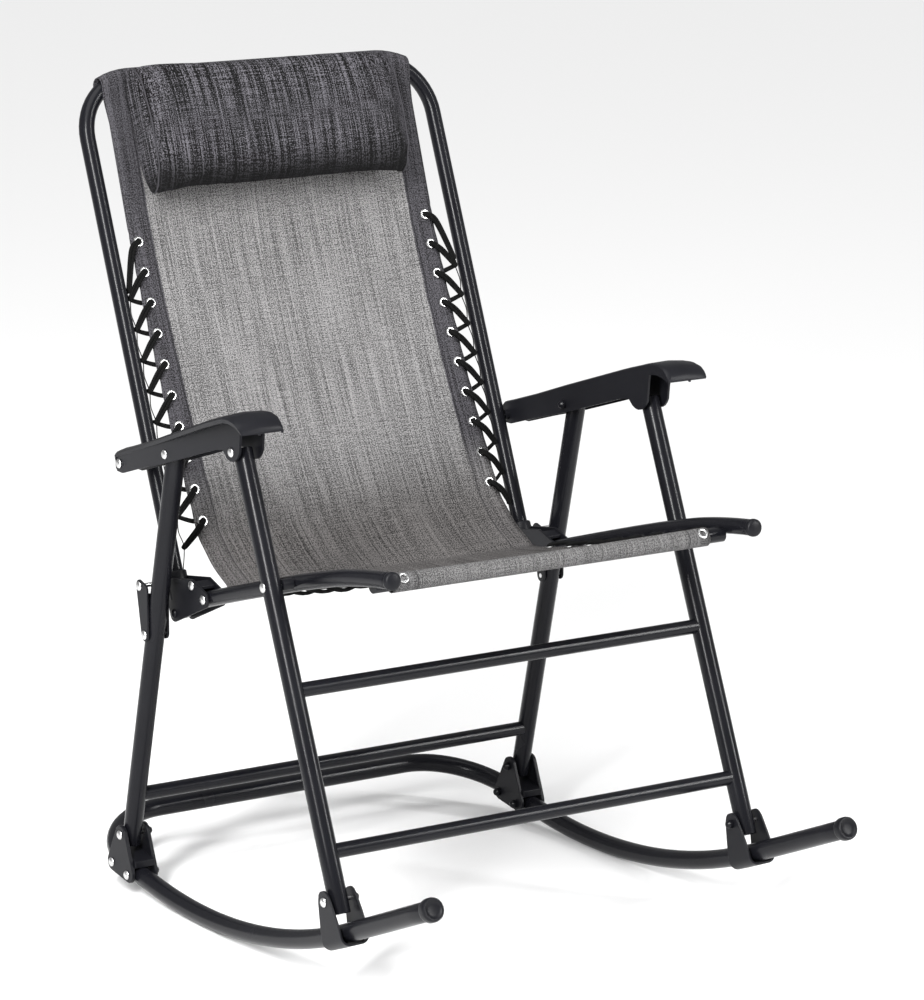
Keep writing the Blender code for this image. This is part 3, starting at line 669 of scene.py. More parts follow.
def hoop(solid: bmesh.types.BMesh, centre: Vector, normal: Vector, radius: float, thick: float,
         sides: int = 20, flat: float = 0.6) -> None:
    """Adds a rolled ring, such as an eyelet's rim.

    Args:
        solid: The mesh that gets it.
        centre: Its centre.
        normal: Its axis.
        radius: Radius of its middle line.
        thick: Half its width.
        sides: Sides round its axis.
        flat: Its height over its width.
    """
    normal = normal.normalized()
    up = Vector((1, 0, 0)) if abs(normal.x) < 0.9 else Vector((0, 1, 0))
    loops = []
    for k in range(HOOP_SECTION):
        angle = 2 * math.pi * k / HOOP_SECTION
        loops.append(ring(solid, centre + normal * (thick * flat * math.sin(angle)), normal, up,
                          radius + thick * math.cos(angle), sides))
    for k in range(HOOP_SECTION):
        bridge(solid, loops[k], loops[(k + 1) % HOOP_SECTION])


def half_hull(ordered: Sequence[SidePoint]) -> list[SidePoint]:
    """One side of a convex outline.

    Args:
        ordered: Points sorted along it.
    Returns:
        The points that lie on it.
    """
    kept: list[SidePoint] = []
    for p in ordered:
        while len(kept) > 1:
            a, b = kept[-2], kept[-1]
            if (b[0] - a[0]) * (p[1] - a[1]) - (b[1] - a[1]) * (p[0] - a[0]) > 0:
                break
            kept.pop()
        kept.append(p)
    return kept


def hull_outline(circles: Sequence[tuple[float, float, float]], steps: int = 40) -> list[SidePoint]:
    """The convex outline round circles.

    Args:
        circles: (y, z, radius) of each.
        steps: Points on each circle.
    Returns:
        The outline's corners in order.
    """
    turns = [2 * math.pi * k / steps for k in range(steps)]
    points = sorted({(round(y + r * math.cos(a), 6), round(z + r * math.sin(a), 6))
                     for y, z, r in circles for a in turns})
    return half_hull(points)[:-1] + half_hull(points[::-1])[:-1]


def slab(solid: bmesh.types.BMesh, outline: Sequence[SidePoint], x_low: float, x_high: float) -> None:
    """Adds a plate that lies in the side plane.

    Args:
        solid: The mesh that gets it.
        outline: Its corners.
        x_low: Where it starts across the chair.
        x_high: Where it ends.
    """
    low = [solid.verts.new(world(x_low, p)) for p in outline]
    high = [solid.verts.new(world(x_high, p)) for p in outline]
    solid.faces.new(low)
    solid.faces.new(high)
    bridge(solid, low, high)


def piece(name: str, solid: bmesh.types.BMesh, finish: Finish, body: Optional[Body],
          replaces: Sequence[str] = (), bevel: float = 0.0, sharp: float = 40.0) -> bpy.types.Object:
    """Makes an object from a bmesh in world coordinates, dresses it and hangs it on a body.

    Args:
        name: The piece's name.
        solid: Its mesh, which is used up.
        finish: What it looks like.
        body: The CAD body it rides on, or None to hang it on no body.
        replaces: CAD nodes that it stands for.
        bevel: Width of its rounded edges.
        sharp: Angle in degrees over which an edge stays sharp.
    Returns:
        The object.
    """
    bmesh.ops.recalc_face_normals(solid, faces=solid.faces)
    mesh = bpy.data.meshes.new(name)
    solid.to_mesh(mesh)
    solid.free()
    mesh.shade_smooth()
    mesh.set_sharp_from_angle(angle=math.radians(sharp))
    made = bpy.data.objects.new(name, mesh)
    bpy.context.scene.collection.objects.link(made)
    if bevel:
        rounding = made.modifiers.new("rounding", "BEVEL")
        rounding.width = bevel
        rounding.segments = 3
        rounding.limit_method = "ANGLE"
        rounding.angle_limit = math.radians(35)
        rounding.harden_normals = True
    made.data.materials.append(finish.material())
    if body:
        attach(made, body.value)
    if replaces:
        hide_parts(*replaces)
    LOG.info("%s: %d faces on %s", name, len(mesh.polygons), body.value if body else "no body yet")
    return made


# --------------------------------------------------------------------------------------------------
# The chair's side plane


@dataclass(frozen=True)
class Plan:
    """Driving sizes of the frame, as the CAD has them."""

    leg_x: float = 0.310
    frame_x: float = 0.270
    leg_r: float = 0.0125
    bar_r: float = 0.0095
    frame_r: float = 0.0105
    arc: tuple[float, float, float] = (0.079, 0.9725, 0.960)
    nose: SidePoint = (-0.471, 0.162)
    rear_run_y: float = 0.387
    rear_bend_r: float = 0.112
    rear_foot: SidePoint = (0.257, 0.077)
    front_foot: SidePoint = (-0.265, 0.1217)
    arm_mid: SidePoint = (0.1236, 0.614)
    arm_front: SidePoint = (-0.0454, 0.6455)
    arm_rear: SidePoint = (0.2583, 0.5778)
    seat_pivot: SidePoint = (-0.1127, 0.4857)
    link_low: SidePoint = (0.1855, 0.364)
    link_top: SidePoint = (0.1975, 0.4271)
    hinge: SidePoint = (0.105, 0.4215)
    tie: SidePoint = (0.1345, 0.4347)
    back_foot: SidePoint = (0.1818, 0.388)
    top_bar: SidePoint = (0.450, 1.0535)
    top_corner_r: float = 0.080
    seat_bar: SidePoint = (-0.272, 0.512)

    def arc_height(self, y: float) -> float:
        """Height of the rocker's axis on its circular part."""
        return self.arc[1] - math.sqrt(self.arc[2] ** 2 - (y - self.arc[0]) ** 2)

    def nose_tilt(self) -> float:
        """Angle of the straight front end of the rocker above level."""
        dy, dz = self.arc[0] - self.nose[0], self.arc[1] - self.nose[1]
        return math.atan2(dy, dz) - math.acos(self.arc[2] / math.hypot(dy, dz))

    def back_depth(self, z: float) -> float:
        """Depth of the back tube's axis at a height."""
        slope = (self.top_bar[0] - self.back_foot[0]) / (self.top_bar[1] - self.back_foot[1])
        return self.back_foot[0] + slope * (z - self.back_foot[1])


PLAN = Plan()


def along(start: SidePoint, end: SidePoint, distance: float) -> SidePoint:
    """The point a distance past end on the line from start."""
    share = 1 + distance / math.hypot(end[0] - start[0], end[1] - start[1])
    return between(start, end, share)


@dataclass(frozen=True)
class Bolt:
    """A bolt along X and the CAD node it stands for: head seated at head_x, end or nut seat at end_x."""

    node: str
    body: Body
    at: SidePoint
    head_x: float
    end_x: float
    nut: bool = True
    finish: Finish = BRIGHT

    SHANK_R = 0.0030
    SIDES = 20
    HEAD = ((-0.0029, 0.0004), (-0.0028, 0.0022), (-0.0023, 0.0043), (-0.0012, 0.0058), (-0.0003, 0.0062),
            (0.0, 0.0061), (0.0, SHANK_R))
    NUT = ((0.0, SHANK_R), (0.0, 0.0056), (0.0046, 0.0056), (0.0050, 0.0050), (0.0072, 0.0040),
           (0.0084, 0.0020), (0.0086, 0.0004))

    def build(self) -> None:
        """One domed bolt on each side of the chair, with a black cap nut where it has one."""
        for name, side in SIDES:
            reach = abs(self.end_x - self.head_x)
            towards = Vector((side * math.copysign(1, self.end_x - self.head_x), 0, 0))
            start = world(side * self.head_x, self.at)
            solid = bmesh.new()
            lathe(solid, [*self.HEAD, (reach, self.SHANK_R)], start, towards, self.SIDES)
            piece(f"{self.node}_look_{name}", solid, self.finish, self.body, [f"{self.node}_{name}"])
            if self.nut:
                solid = bmesh.new()
                lathe(solid, self.NUT, start + towards * reach, towards, self.SIDES)
                piece(f"{self.node}_nut_{name}", solid, BLACK_BOLT, self.body)


class Assembly:
    """A group of pieces that belong together."""

    def build(self) -> None:
        """Makes the group's pieces."""
        raise NotImplementedError

    @staticmethod
    def tube(node: str, points: Sequence[Vector], radius: float, body: Body, count: int = 0) -> None:
        """Makes a powder-coated tube that stands for one CAD node.

        Args:
            node: The CAD node.
            points: The tube's axis.
            radius: Its outer radius.
            body: What it rides on.
            count: Points to smooth the axis to, or 0 to keep it.
        """
        solid = bmesh.new()
        path = smooth(points, count) if count else list(points)
        sweep(solid, path, radius, 32, round_end=0.0012)
        piece(f"{node}_look", solid, STEEL, body, [node])


@dataclass
class RockerBase(Assembly):
    """The bent rocker tube with its end caps and the clamps of the rear legs."""

    cheek_outer: tuple[float, float] = (0.3234, 0.3288)
    cheek_inner: tuple[float, float] = (0.2895, 0.2946)
    cheek_corners: tuple = ((*PLAN.rear_foot, 0.0130), (0.281, 0.0345, 0.0120), (0.237, 0.0285, 0.0125))
    block_x: tuple[float, float] = (0.2940, 0.3235)
    block_y: tuple[float, float] = (0.228, 0.288)
    block_top: float = 0.0105
    clamp_bolts_y: tuple[float, float] = (0.240, 0.281)
    bolt_x: tuple[float, float] = (0.3291, 0.2892)
    cap_profile: tuple = ((-0.0006, 0.0118), (-0.0006, 0.0136), (0.0004, 0.0148), (0.0020, 0.0152),
                          (0.0085, 0.0152), (0.0108, 0.0147), (0.0122, 0.0135), (0.0124, 0.0122),
                          (0.0116, 0.0108), (0.0102, 0.0095), (0.0096, 0.0060), (0.0094, 0.0010))

    def build(self) -> None:
        """Tube, caps, clamps and bolts."""
        self.build_tube()
        tilt = PLAN.nose_tilt()
        forward = Vector((0, -math.cos(tilt), math.sin(tilt)))
        for name, side in SIDES:
            self.build_cap(name, world(side * PLAN.leg_x, PLAN.nose), forward)
            self.build_clamp(name, side)
        clamp_at = [(y, PLAN.arc_height(y)) for y in self.clamp_bolts_y]
        for node, at in (("rear_pivot_bolt", PLAN.rear_foot), ("clamp_front_bolt", clamp_at[0]),
                         ("clamp_rear_bolt", clamp_at[1])):
            Bolt(node, Body.ROCKER, at, *self.bolt_x).build()

    def build_tube(self) -> None:
        """The tube follows an arc, runs on straight at the front and turns across at the rear."""
        tilt = PLAN.nose_tilt()
        tangent_y = PLAN.arc[0] - PLAN.arc[2] * math.sin(tilt)
        bend = PLAN.rear_run_y - PLAN.rear_bend_r
        half = [world(PLAN.leg_x, PLAN.nose)]
        arc_start = world(PLAN.leg_x, (tangent_y, PLAN.arc_height(tangent_y)))
        half += [half[0].lerp(arc_start, k / 6) for k in range(1, 6)]
        for k in range(31):
            y = lerp(tangent_y, bend, k / 30)
            half.append(world(PLAN.leg_x, (y, PLAN.arc_height(y))))
        for k in range(1, 17):
            angle = math.pi / 2 * k / 16
            y = bend + PLAN.rear_bend_r * math.sin(angle)
            x = PLAN.leg_x - PLAN.rear_bend_r * (1 - math.cos(angle))
            half.append(world(x, (y, PLAN.arc_height(y))))
        mirrored = [Vector((-p.x, p.y, p.z)) for p in half]
        self.tube("rocker_tube", mirrored + half[::-1], PLAN.leg_r, Body.ROCKER)

    def build_cap(self, name: str, nose: Vector, forward: Vector) -> None:
        """Puts a thick round cap with a dished face over the tube's front end.

        Args:
            name: The side's name.
            nose: The tube's end.
            forward: Where it points.
        """
        solid = bmesh.new()
        lathe(solid, self.cap_profile, nose + forward * 0.0008, forward, 36)
        piece(f"rocker_cap_look_{name}", solid, PLASTIC, Body.ROCKER, [f"rocker_cap_{name}"])

    def build_clamp(self, name: str, side: int) -> None:
        """Makes the two cheeks of a rear leg's clamp and the saddle block between them.

        Args:
            name: The side's name.
            side: -1 on the left, 1 on the right.
        """
        outline = hull_outline(self.cheek_corners)
        for part, (low, high) in (("outer", self.cheek_outer), ("inner", self.cheek_inner)):
            solid = bmesh.new()
            slab(solid, outline, side * low, side * high)
            piece(f"rear_clamp_{part}_look_{name}", solid, PLASTIC, Body.ROCKER,
                  [f"rear_clamp_{part}_{name}"], bevel=0.0012)
        solid = bmesh.new()
        ys = [self.block_y[0] + (self.block_y[1] - self.block_y[0]) * k / 12 for k in range(13)]
        below = [self.above_tube(y, PLAN.leg_r + 0.0006) for y in ys]
        above = [self.above_tube(y, PLAN.leg_r + self.block_top) for y in ys]
        slab(solid, below + above[::-1], side * self.block_x[0], side * self.block_x[1])
        piece(f"rear_clamp_block_{name}", solid, PLASTIC, Body.ROCKER, bevel=0.001)

    @staticmethod
    def above_tube(y: float, inwards: float) -> SidePoint:
        """A point over the rocker's axis.

        Args:
            y: Depth of the point on the axis.
            inwards: How far it is moved towards the arc's centre.
        Returns:
            The side-plane point.
        """
        z = PLAN.arc_height(y)
        share = inwards / PLAN.arc[2]
        return (y + (PLAN.arc[0] - y) * share, z + (PLAN.arc[1] - z) * share)


@dataclass
class Legs(Assembly):
    """Both pairs of legs with their cross bars and pivots."""

    spacer_profile: tuple = ((0.0, 0.0060), (0.0006, 0.0075), (0.0156, 0.0075), (0.0162, 0.0060))
    bolt_reach: float = 0.030
    head_x: float = 0.3228
    spacer_x: float = 0.2972
    bars: tuple = (("rear_crossbar", (0.2431, 0.1332), Body.REAR_LEGS),
                   ("front_upper_crossbar", (-0.164, 0.3635), Body.FRONT_LEGS),
                   ("front_lower_crossbar", (-0.242, 0.1764), Body.FRONT_LEGS))

    def build(self) -> None:
        """Straight tubes with rounded ends."""
        spans = (("rear_leg", Body.REAR_LEGS, PLAN.rear_foot, PLAN.arm_mid, 0.014, 0.0065),
                 ("front_leg", Body.FRONT_LEGS, PLAN.front_foot, PLAN.arm_front, 0.018, 0.003))
        for node, body, foot, head, below, above in spans:
            low, high = along(head, foot, below), along(foot, head, above)
            for name, side in SIDES:
                x = side * PLAN.leg_x
                self.tube(f"{node}_{name}", spaced([world(x, low), world(x, high)], 8), PLAN.leg_r, body)
        for node, at, body in self.bars:
            reach = PLAN.leg_x - PLAN.leg_r + 0.004
            solid = bmesh.new()
            sweep(solid, spaced([world(-reach, at), world(reach, at)], 8), PLAN.bar_r, 28)
            piece(f"{node}_look", solid, STEEL, body, [node])
        Bolt("link_pivot_bolt", Body.REAR_LEGS, PLAN.link_low, 0.3267, 0.2933, nut=False).build()
        self.build_seat_pivots()

    def build_seat_pivots(self) -> None:
        """A bright head outside each front leg and a black spacer between leg and seat tube."""
        for name, side in SIDES:
            inwards = Vector((-side, 0, 0))
            solid = bmesh.new()
            lathe(solid, [*Bolt.HEAD, (self.bolt_reach, Bolt.SHANK_R)],
                  world(side * self.head_x, PLAN.seat_pivot), inwards, Bolt.SIDES)
            piece(f"seat_pivot_bolt_look_{name}", solid, BRIGHT, Body.FRONT_LEGS,
                  [f"seat_pivot_bolt_{name}"])
            solid = bmesh.new()
            lathe(solid, self.spacer_profile, world(side * self.spacer_x, PLAN.seat_pivot), inwards, 20)
            piece(f"seat_spacer_{name}", solid, PLASTIC, Body.FRONT_LEGS)


@dataclass
class Saddles(Assembly):
    """Straps at the front legs' feet that ride on the rocker."""

    half_x: float = 0.0207
    corner: float = 0.0125
    wall: float = 0.0030
    bottom: float = -0.0592
    foot_half: float = 0.0238
    levels: tuple = ((0.0140, 0.0030), (0.0128, 0.0065), (0.0100, 0.0100), (0.0050, 0.0128), (0.0, 0.0145),
                     (-0.0150, 0.0182), (-0.0300, 0.0217))

    def section(self) -> list[tuple[float, float, float]]:
        """The strap's line over its outside.

        Returns:
            (x, height, half width) down one side, round the bottom and up the other.
        """
        levels = [*self.levels, (self.bottom + self.corner, self.foot_half)]
        strip = [(self.half_x, s, wide) for s, wide in levels]
        for k in range(1, 8):
            angle = math.pi / 2 * k / 7
            strip.append((self.half_x - self.corner * (1 - math.cos(angle)),
                          self.bottom + self.corner * (1 - math.sin(angle)), self.foot_half))
        return strip + [(-x, s, wide) for x, s, wide in strip[::-1]]

    def build(self) -> None:
        """A bent strap with softened edges on each side, and its bolt."""
        centre = Vector((0, PLAN.arc[0], PLAN.arc[1]))
        foot = Vector((0, *PLAN.front_foot))
        up = (centre - foot).normalized()
        forward = Vector((0, -up.z, up.y))
        strip = self.section()
        for name, side in SIDES:
            solid = bmesh.new()
            loops = []
            for k, (x, s, wide) in enumerate(strip):
                a, b = strip[max(k - 1, 0)], strip[min(k + 1, len(strip) - 1)]
                run = Vector((b[0] - a[0], b[1] - a[1])).normalized()
                inward = Vector((run.y, -run.x)) * self.wall
                corners = ((0, 0, wide), (0, 0, -wide), (*inward, -wide), (*inward, wide))
                made = []
                for dx, ds, offset in corners:
                    p = foot + up * (s + ds) + forward * offset
                    made.append(solid.verts.new(world(side * PLAN.leg_x + x + dx, (p.y, p.z))))
                loops.append(made)
            close_ends(solid, loops)
            piece(f"front_saddle_look_{name}", solid, PLASTIC, Body.SADDLES, [f"front_saddle_{name}"],
                  bevel=0.0009)
        Bolt("saddle_bolt", Body.SADDLES, PLAN.front_foot, 0.3310, 0.2890).build()


@dataclass
class Links(Assembly):
    """Channel links behind the rear legs."""

    outer: tuple[float, float] = (0.3236, 0.3264)
    inner: tuple[float, float] = (0.2936, 0.2964)
    web: tuple[float, float] = (0.2950, 0.3250)
    web_wall: float = 0.0025
    web_behind: float = 0.0137
    web_rise: tuple[float, float] = (0.016, 0.052)

    def build(self) -> None:
        """Two cheeks and a web on each side, and the upper bolt."""
        lean = (Vector(PLAN.arm_mid) - Vector(PLAN.rear_foot)).normalized()
        behind = Vector((lean.y, -lean.x))
        outline = hull_outline([(*PLAN.link_low, 0.0085), (*PLAN.link_top, 0.0085), (0.1845, 0.424, 0.0075)])
        low, high = (Vector(PLAN.link_low) + behind * self.web_behind + lean * rise for rise in self.web_rise)
        wall = behind * self.web_wall
        web = [tuple(p) for p in (low, low + wall, high + wall, high)]
        for name, side in SIDES:
            solid = bmesh.new()
            slab(solid, outline, side * self.outer[0], side * self.outer[1])
            slab(solid, outline, side * self.inner[0], side * self.inner[1])
            slab(solid, web, side * self.web[0], side * self.web[1])
            piece(f"back_link_look_{name}", solid, PLASTIC, Body.LINKS, [f"back_link_{name}"], bevel=0.0008)
        Bolt("back_link_bolt", Body.LINKS, PLAN.link_top, 0.3267, 0.2880, nut=False).build()


@dataclass
class Arms(Assembly):
    """Moulded armrests: a channel over the leg tops with a pad that overhangs outwards."""

    cheek: float = 0.0032
    pad: float = 0.0090
    bush: tuple = ((0.0, 0.0058), (0.0006, 0.0070), (0.0062, 0.0070))
    bush_x: float = 0.2808
    stations: tuple = (
        (0.2712, 0.5895, 0.5735, 0.3190), (0.2700, 0.5920, 0.5700, 0.3200),
        (0.2660, 0.5955, 0.5665, 0.3205), (0.2500, 0.6000, 0.5665, 0.3210),
        (0.1960, 0.6165, 0.5825, 0.3235), (0.1250, 0.6400, 0.6020, 0.3300),
        (0.0430, 0.6660, 0.6270, 0.3400), (-0.0040, 0.6810, 0.6415, 0.3460),
        (-0.0240, 0.6870, 0.6450, 0.3485), (-0.0330, 0.6895, 0.6370, 0.3495),
        (-0.0390, 0.6912, 0.6345, 0.3503), (-0.0454, 0.6930, 0.6335, 0.3510),
        (-0.0520, 0.6950, 0.6348, 0.3515), (-0.0570, 0.6965, 0.6375, 0.3520),
        (-0.0620, 0.6978, 0.6425, 0.3525), (-0.0650, 0.6985, 0.6480, 0.3530),
        (-0.0690, 0.6995, 0.6840, 0.3530), (-0.0850, 0.7005, 0.6860, 0.3540),
        (-0.0990, 0.6980, 0.6840, 0.3540), (-0.1060, 0.6930, 0.6815, 0.3535),
        (-0.1105, 0.6880, 0.6795, 0.3528), (-0.1130, 0.6840, 0.6780, 0.3520))

    def section(self, y: float, top: float, bottom: float, pad_x: float) -> list[SidePoint]:
        """The right-hand arm's section at one station.

        Args:
            y: The station.
            top: Height of its upper face.
            bottom: Height of its lower edge.
            pad_x: How far the pad reaches outwards.
        Returns:
            (x, z) corners in order.
        """
        back_off = self.stations[1][0] - y
        inner = min(0.2910, 0.2868 + back_off * 0.013)
        outer = min(0.3270, 0.3180 + back_off * 0.075)
        pad = min(self.pad, (top - bottom) * 0.6)
        under = top - pad
        edge = min(0.0055, pad * 0.6)
        return [(inner, bottom), (inner, top - 0.0024), (inner + 0.0016, top - 0.0008), (inner + 0.006, top),
                ((inner + pad_x) / 2, top + 0.0008), (pad_x - 0.008, top - 0.0014),
                (pad_x - 0.0025, top - 0.0032),
                (pad_x, top - edge), (pad_x - 0.001, top - edge - pad * 0.55), (outer, under - 0.0005),
                (outer, bottom), (outer - self.cheek, bottom), (outer - self.cheek, under - 0.0005),
                (inner + self.cheek, under - 0.0005), (inner + self.cheek, bottom)]

    def build(self) -> None:
        """The two arms and their bolts."""
        for name, side in SIDES:
            solid = bmesh.new()
            loops = []
            for y, top, bottom, pad_x in self.stations:
                outline = self.section(y, top, bottom, pad_x)
                loops.append([solid.verts.new(world(side * x, (y, z))) for x, z in outline])
            close_ends(solid, loops)
            piece(f"arm_look_{name}", solid, ARM_PLASTIC, Body.ARMS, [f"arm_{name}"], bevel=0.0009,
                  sharp=50.0)
            solid = bmesh.new()
            lathe(solid, self.bush, world(side * self.bush_x, PLAN.arm_rear), Vector((side, 0, 0)), 20)
            piece(f"arm_bush_{name}", solid, PLASTIC, Body.ARMS)
        Bolt("arm_middle_bolt", Body.ARMS, PLAN.arm_mid, 0.3273, 0.2883).build()
        Bolt("arm_rear_bolt", Body.ARMS, PLAN.arm_rear, 0.3200, 0.2600, nut=False).build()
        Bolt("arm_front_bolt", Body.ARMS, PLAN.arm_front, 0.3273, 0.3245, nut=False).build()


@dataclass
class BackFrame(Assembly):
    """The bent back tube and the moulded brackets at its feet."""

    below_foot: float = 0.0075
    cheek: tuple[float, float] = (0.0110, 0.0142)
    corner_r: float = 0.0110
    sleeve_z: tuple[float, float] = (0.4040, 0.4400)
    sleeve: tuple = ((0.0, 0.0108), (0.0, 0.0140), (0.001, 0.0146), (0.0355, 0.0146), (0.0370, 0.0138),
                     (0.0382, 0.0108))
    gusset: tuple = ((0.1180, 0.4318), (0.1460, 0.4200), (0.1560, 0.4280), (0.1330, 0.4400),
                     (0.1180, 0.4360))
    bolt_x: tuple[float, float] = (0.2845, 0.2555)

    def build(self) -> None:
        """Tube, brackets and their bolts."""
        foot = world(0, PLAN.back_foot)
        rise = (world(0, PLAN.top_bar) - foot).length
        lean = (world(0, PLAN.top_bar) - foot).normalized()
        across = Vector((1, 0, 0))
        straight = rise - PLAN.top_corner_r
        half = [foot + across * PLAN.frame_x + lean * lerp(-self.below_foot, straight, k / 14)
                for k in range(14)]
        for k in range(15):
            angle = math.pi / 2 * k / 14
            x = PLAN.frame_x - PLAN.top_corner_r * (1 - math.cos(angle))
            half.append(foot + across * x + lean * (rise - PLAN.top_corner_r * (1 - math.sin(angle))))
        mirrored = [Vector((-p.x, p.y, p.z)) for p in half]
        self.tube("back_tube", mirrored + half[::-1], PLAN.frame_r, Body.BACK)
        for name, side in SIDES:
            self.build_bracket(name, side)
        Bolt("seat_hinge_bolt", Body.BACK, PLAN.hinge, *self.bolt_x).build()
        Bolt("bracket_bolt", Body.BACK, PLAN.back_foot, *self.bolt_x, finish=BLACK_BOLT).build()

    def build_bracket(self, name: str, side: int) -> None:
        """Makes a sleeve round the tube with gusset cheeks that hold the seat tube's hinge.

        Args:
            name: The side's name.
            side: -1 on the left, 1 on the right.
        """
        crown_z = 0.424
        outline = hull_outline([(*PLAN.back_foot, self.corner_r), (*PLAN.hinge, 0.0115), (*PLAN.tie, 0.0080),
                                (PLAN.back_depth(crown_z), crown_z, 0.0090)])
        x = side * PLAN.frame_x
        solid = bmesh.new()
        near, far = self.cheek
        slab(solid, outline, x - far, x - near)
        slab(solid, outline, x + near, x + far)
        slab(solid, self.gusset, x - 0.0112, x + 0.0112)
        low, high = (world(x, (PLAN.back_depth(z), z)) for z in self.sleeve_z)
        lathe(solid, self.sleeve, low, high - low, 28)
        piece(f"back_bracket_look_{name}", solid, PLASTIC, Body.BACK, [f"back_bracket_{name}"],
              bevel=0.0008)
        solid = bmesh.new()
        lathe(solid, [*Bolt.HEAD, (0.004, Bolt.SHANK_R)], world(side * self.bolt_x[0], PLAN.tie),
              Vector((-side, 0, 0)), Bolt.SIDES)
        piece(f"bracket_tie_{name}", solid, BRIGHT, Body.BACK)


@dataclass
class SeatFrame(Assembly):
    """The curved seat tubes with their front bar and end caps."""

    profile: tuple = ((0.148, 0.4053), (0.1227, 0.4164), (0.02, 0.4475), (-0.1127, 0.4857),
                      (-0.20, 0.5085), (-0.245, 0.5180), (-0.290, 0.5253), (-0.325, 0.5297))
    cap: tuple = ((-0.0005, 0.0090), (-0.0004, 0.0106), (0.0004, 0.0113), (0.0030, 0.0116),
                  (0.0060, 0.0112), (0.0078, 0.0098), (0.0087, 0.0072), (0.0090, 0.0008))

    def build(self) -> None:
        """Tubes, caps and the bar across."""
        for name, side in SIDES:
            points = [world(side * PLAN.frame_x, p) for p in self.profile]
            self.tube(f"seat_tube_{name}", points, PLAN.frame_r, Body.SEAT, 48)
            forward = (points[-1] - points[-2]).normalized()
            solid = bmesh.new()
            lathe(solid, self.cap, points[-1], forward, 28)
            piece(f"seat_cap_look_{name}", solid, PLASTIC, Body.SEAT, [f"seat_cap_{name}"])
        reach = PLAN.frame_x - PLAN.frame_r + 0.003
        solid = bmesh.new()
        sweep(solid, spaced([world(-reach, PLAN.seat_bar), world(reach, PLAN.seat_bar)], 8), PLAN.bar_r, 28)
        piece("seat_front_bar_look", solid, STEEL, Body.SEAT, ["seat_front_bar"])


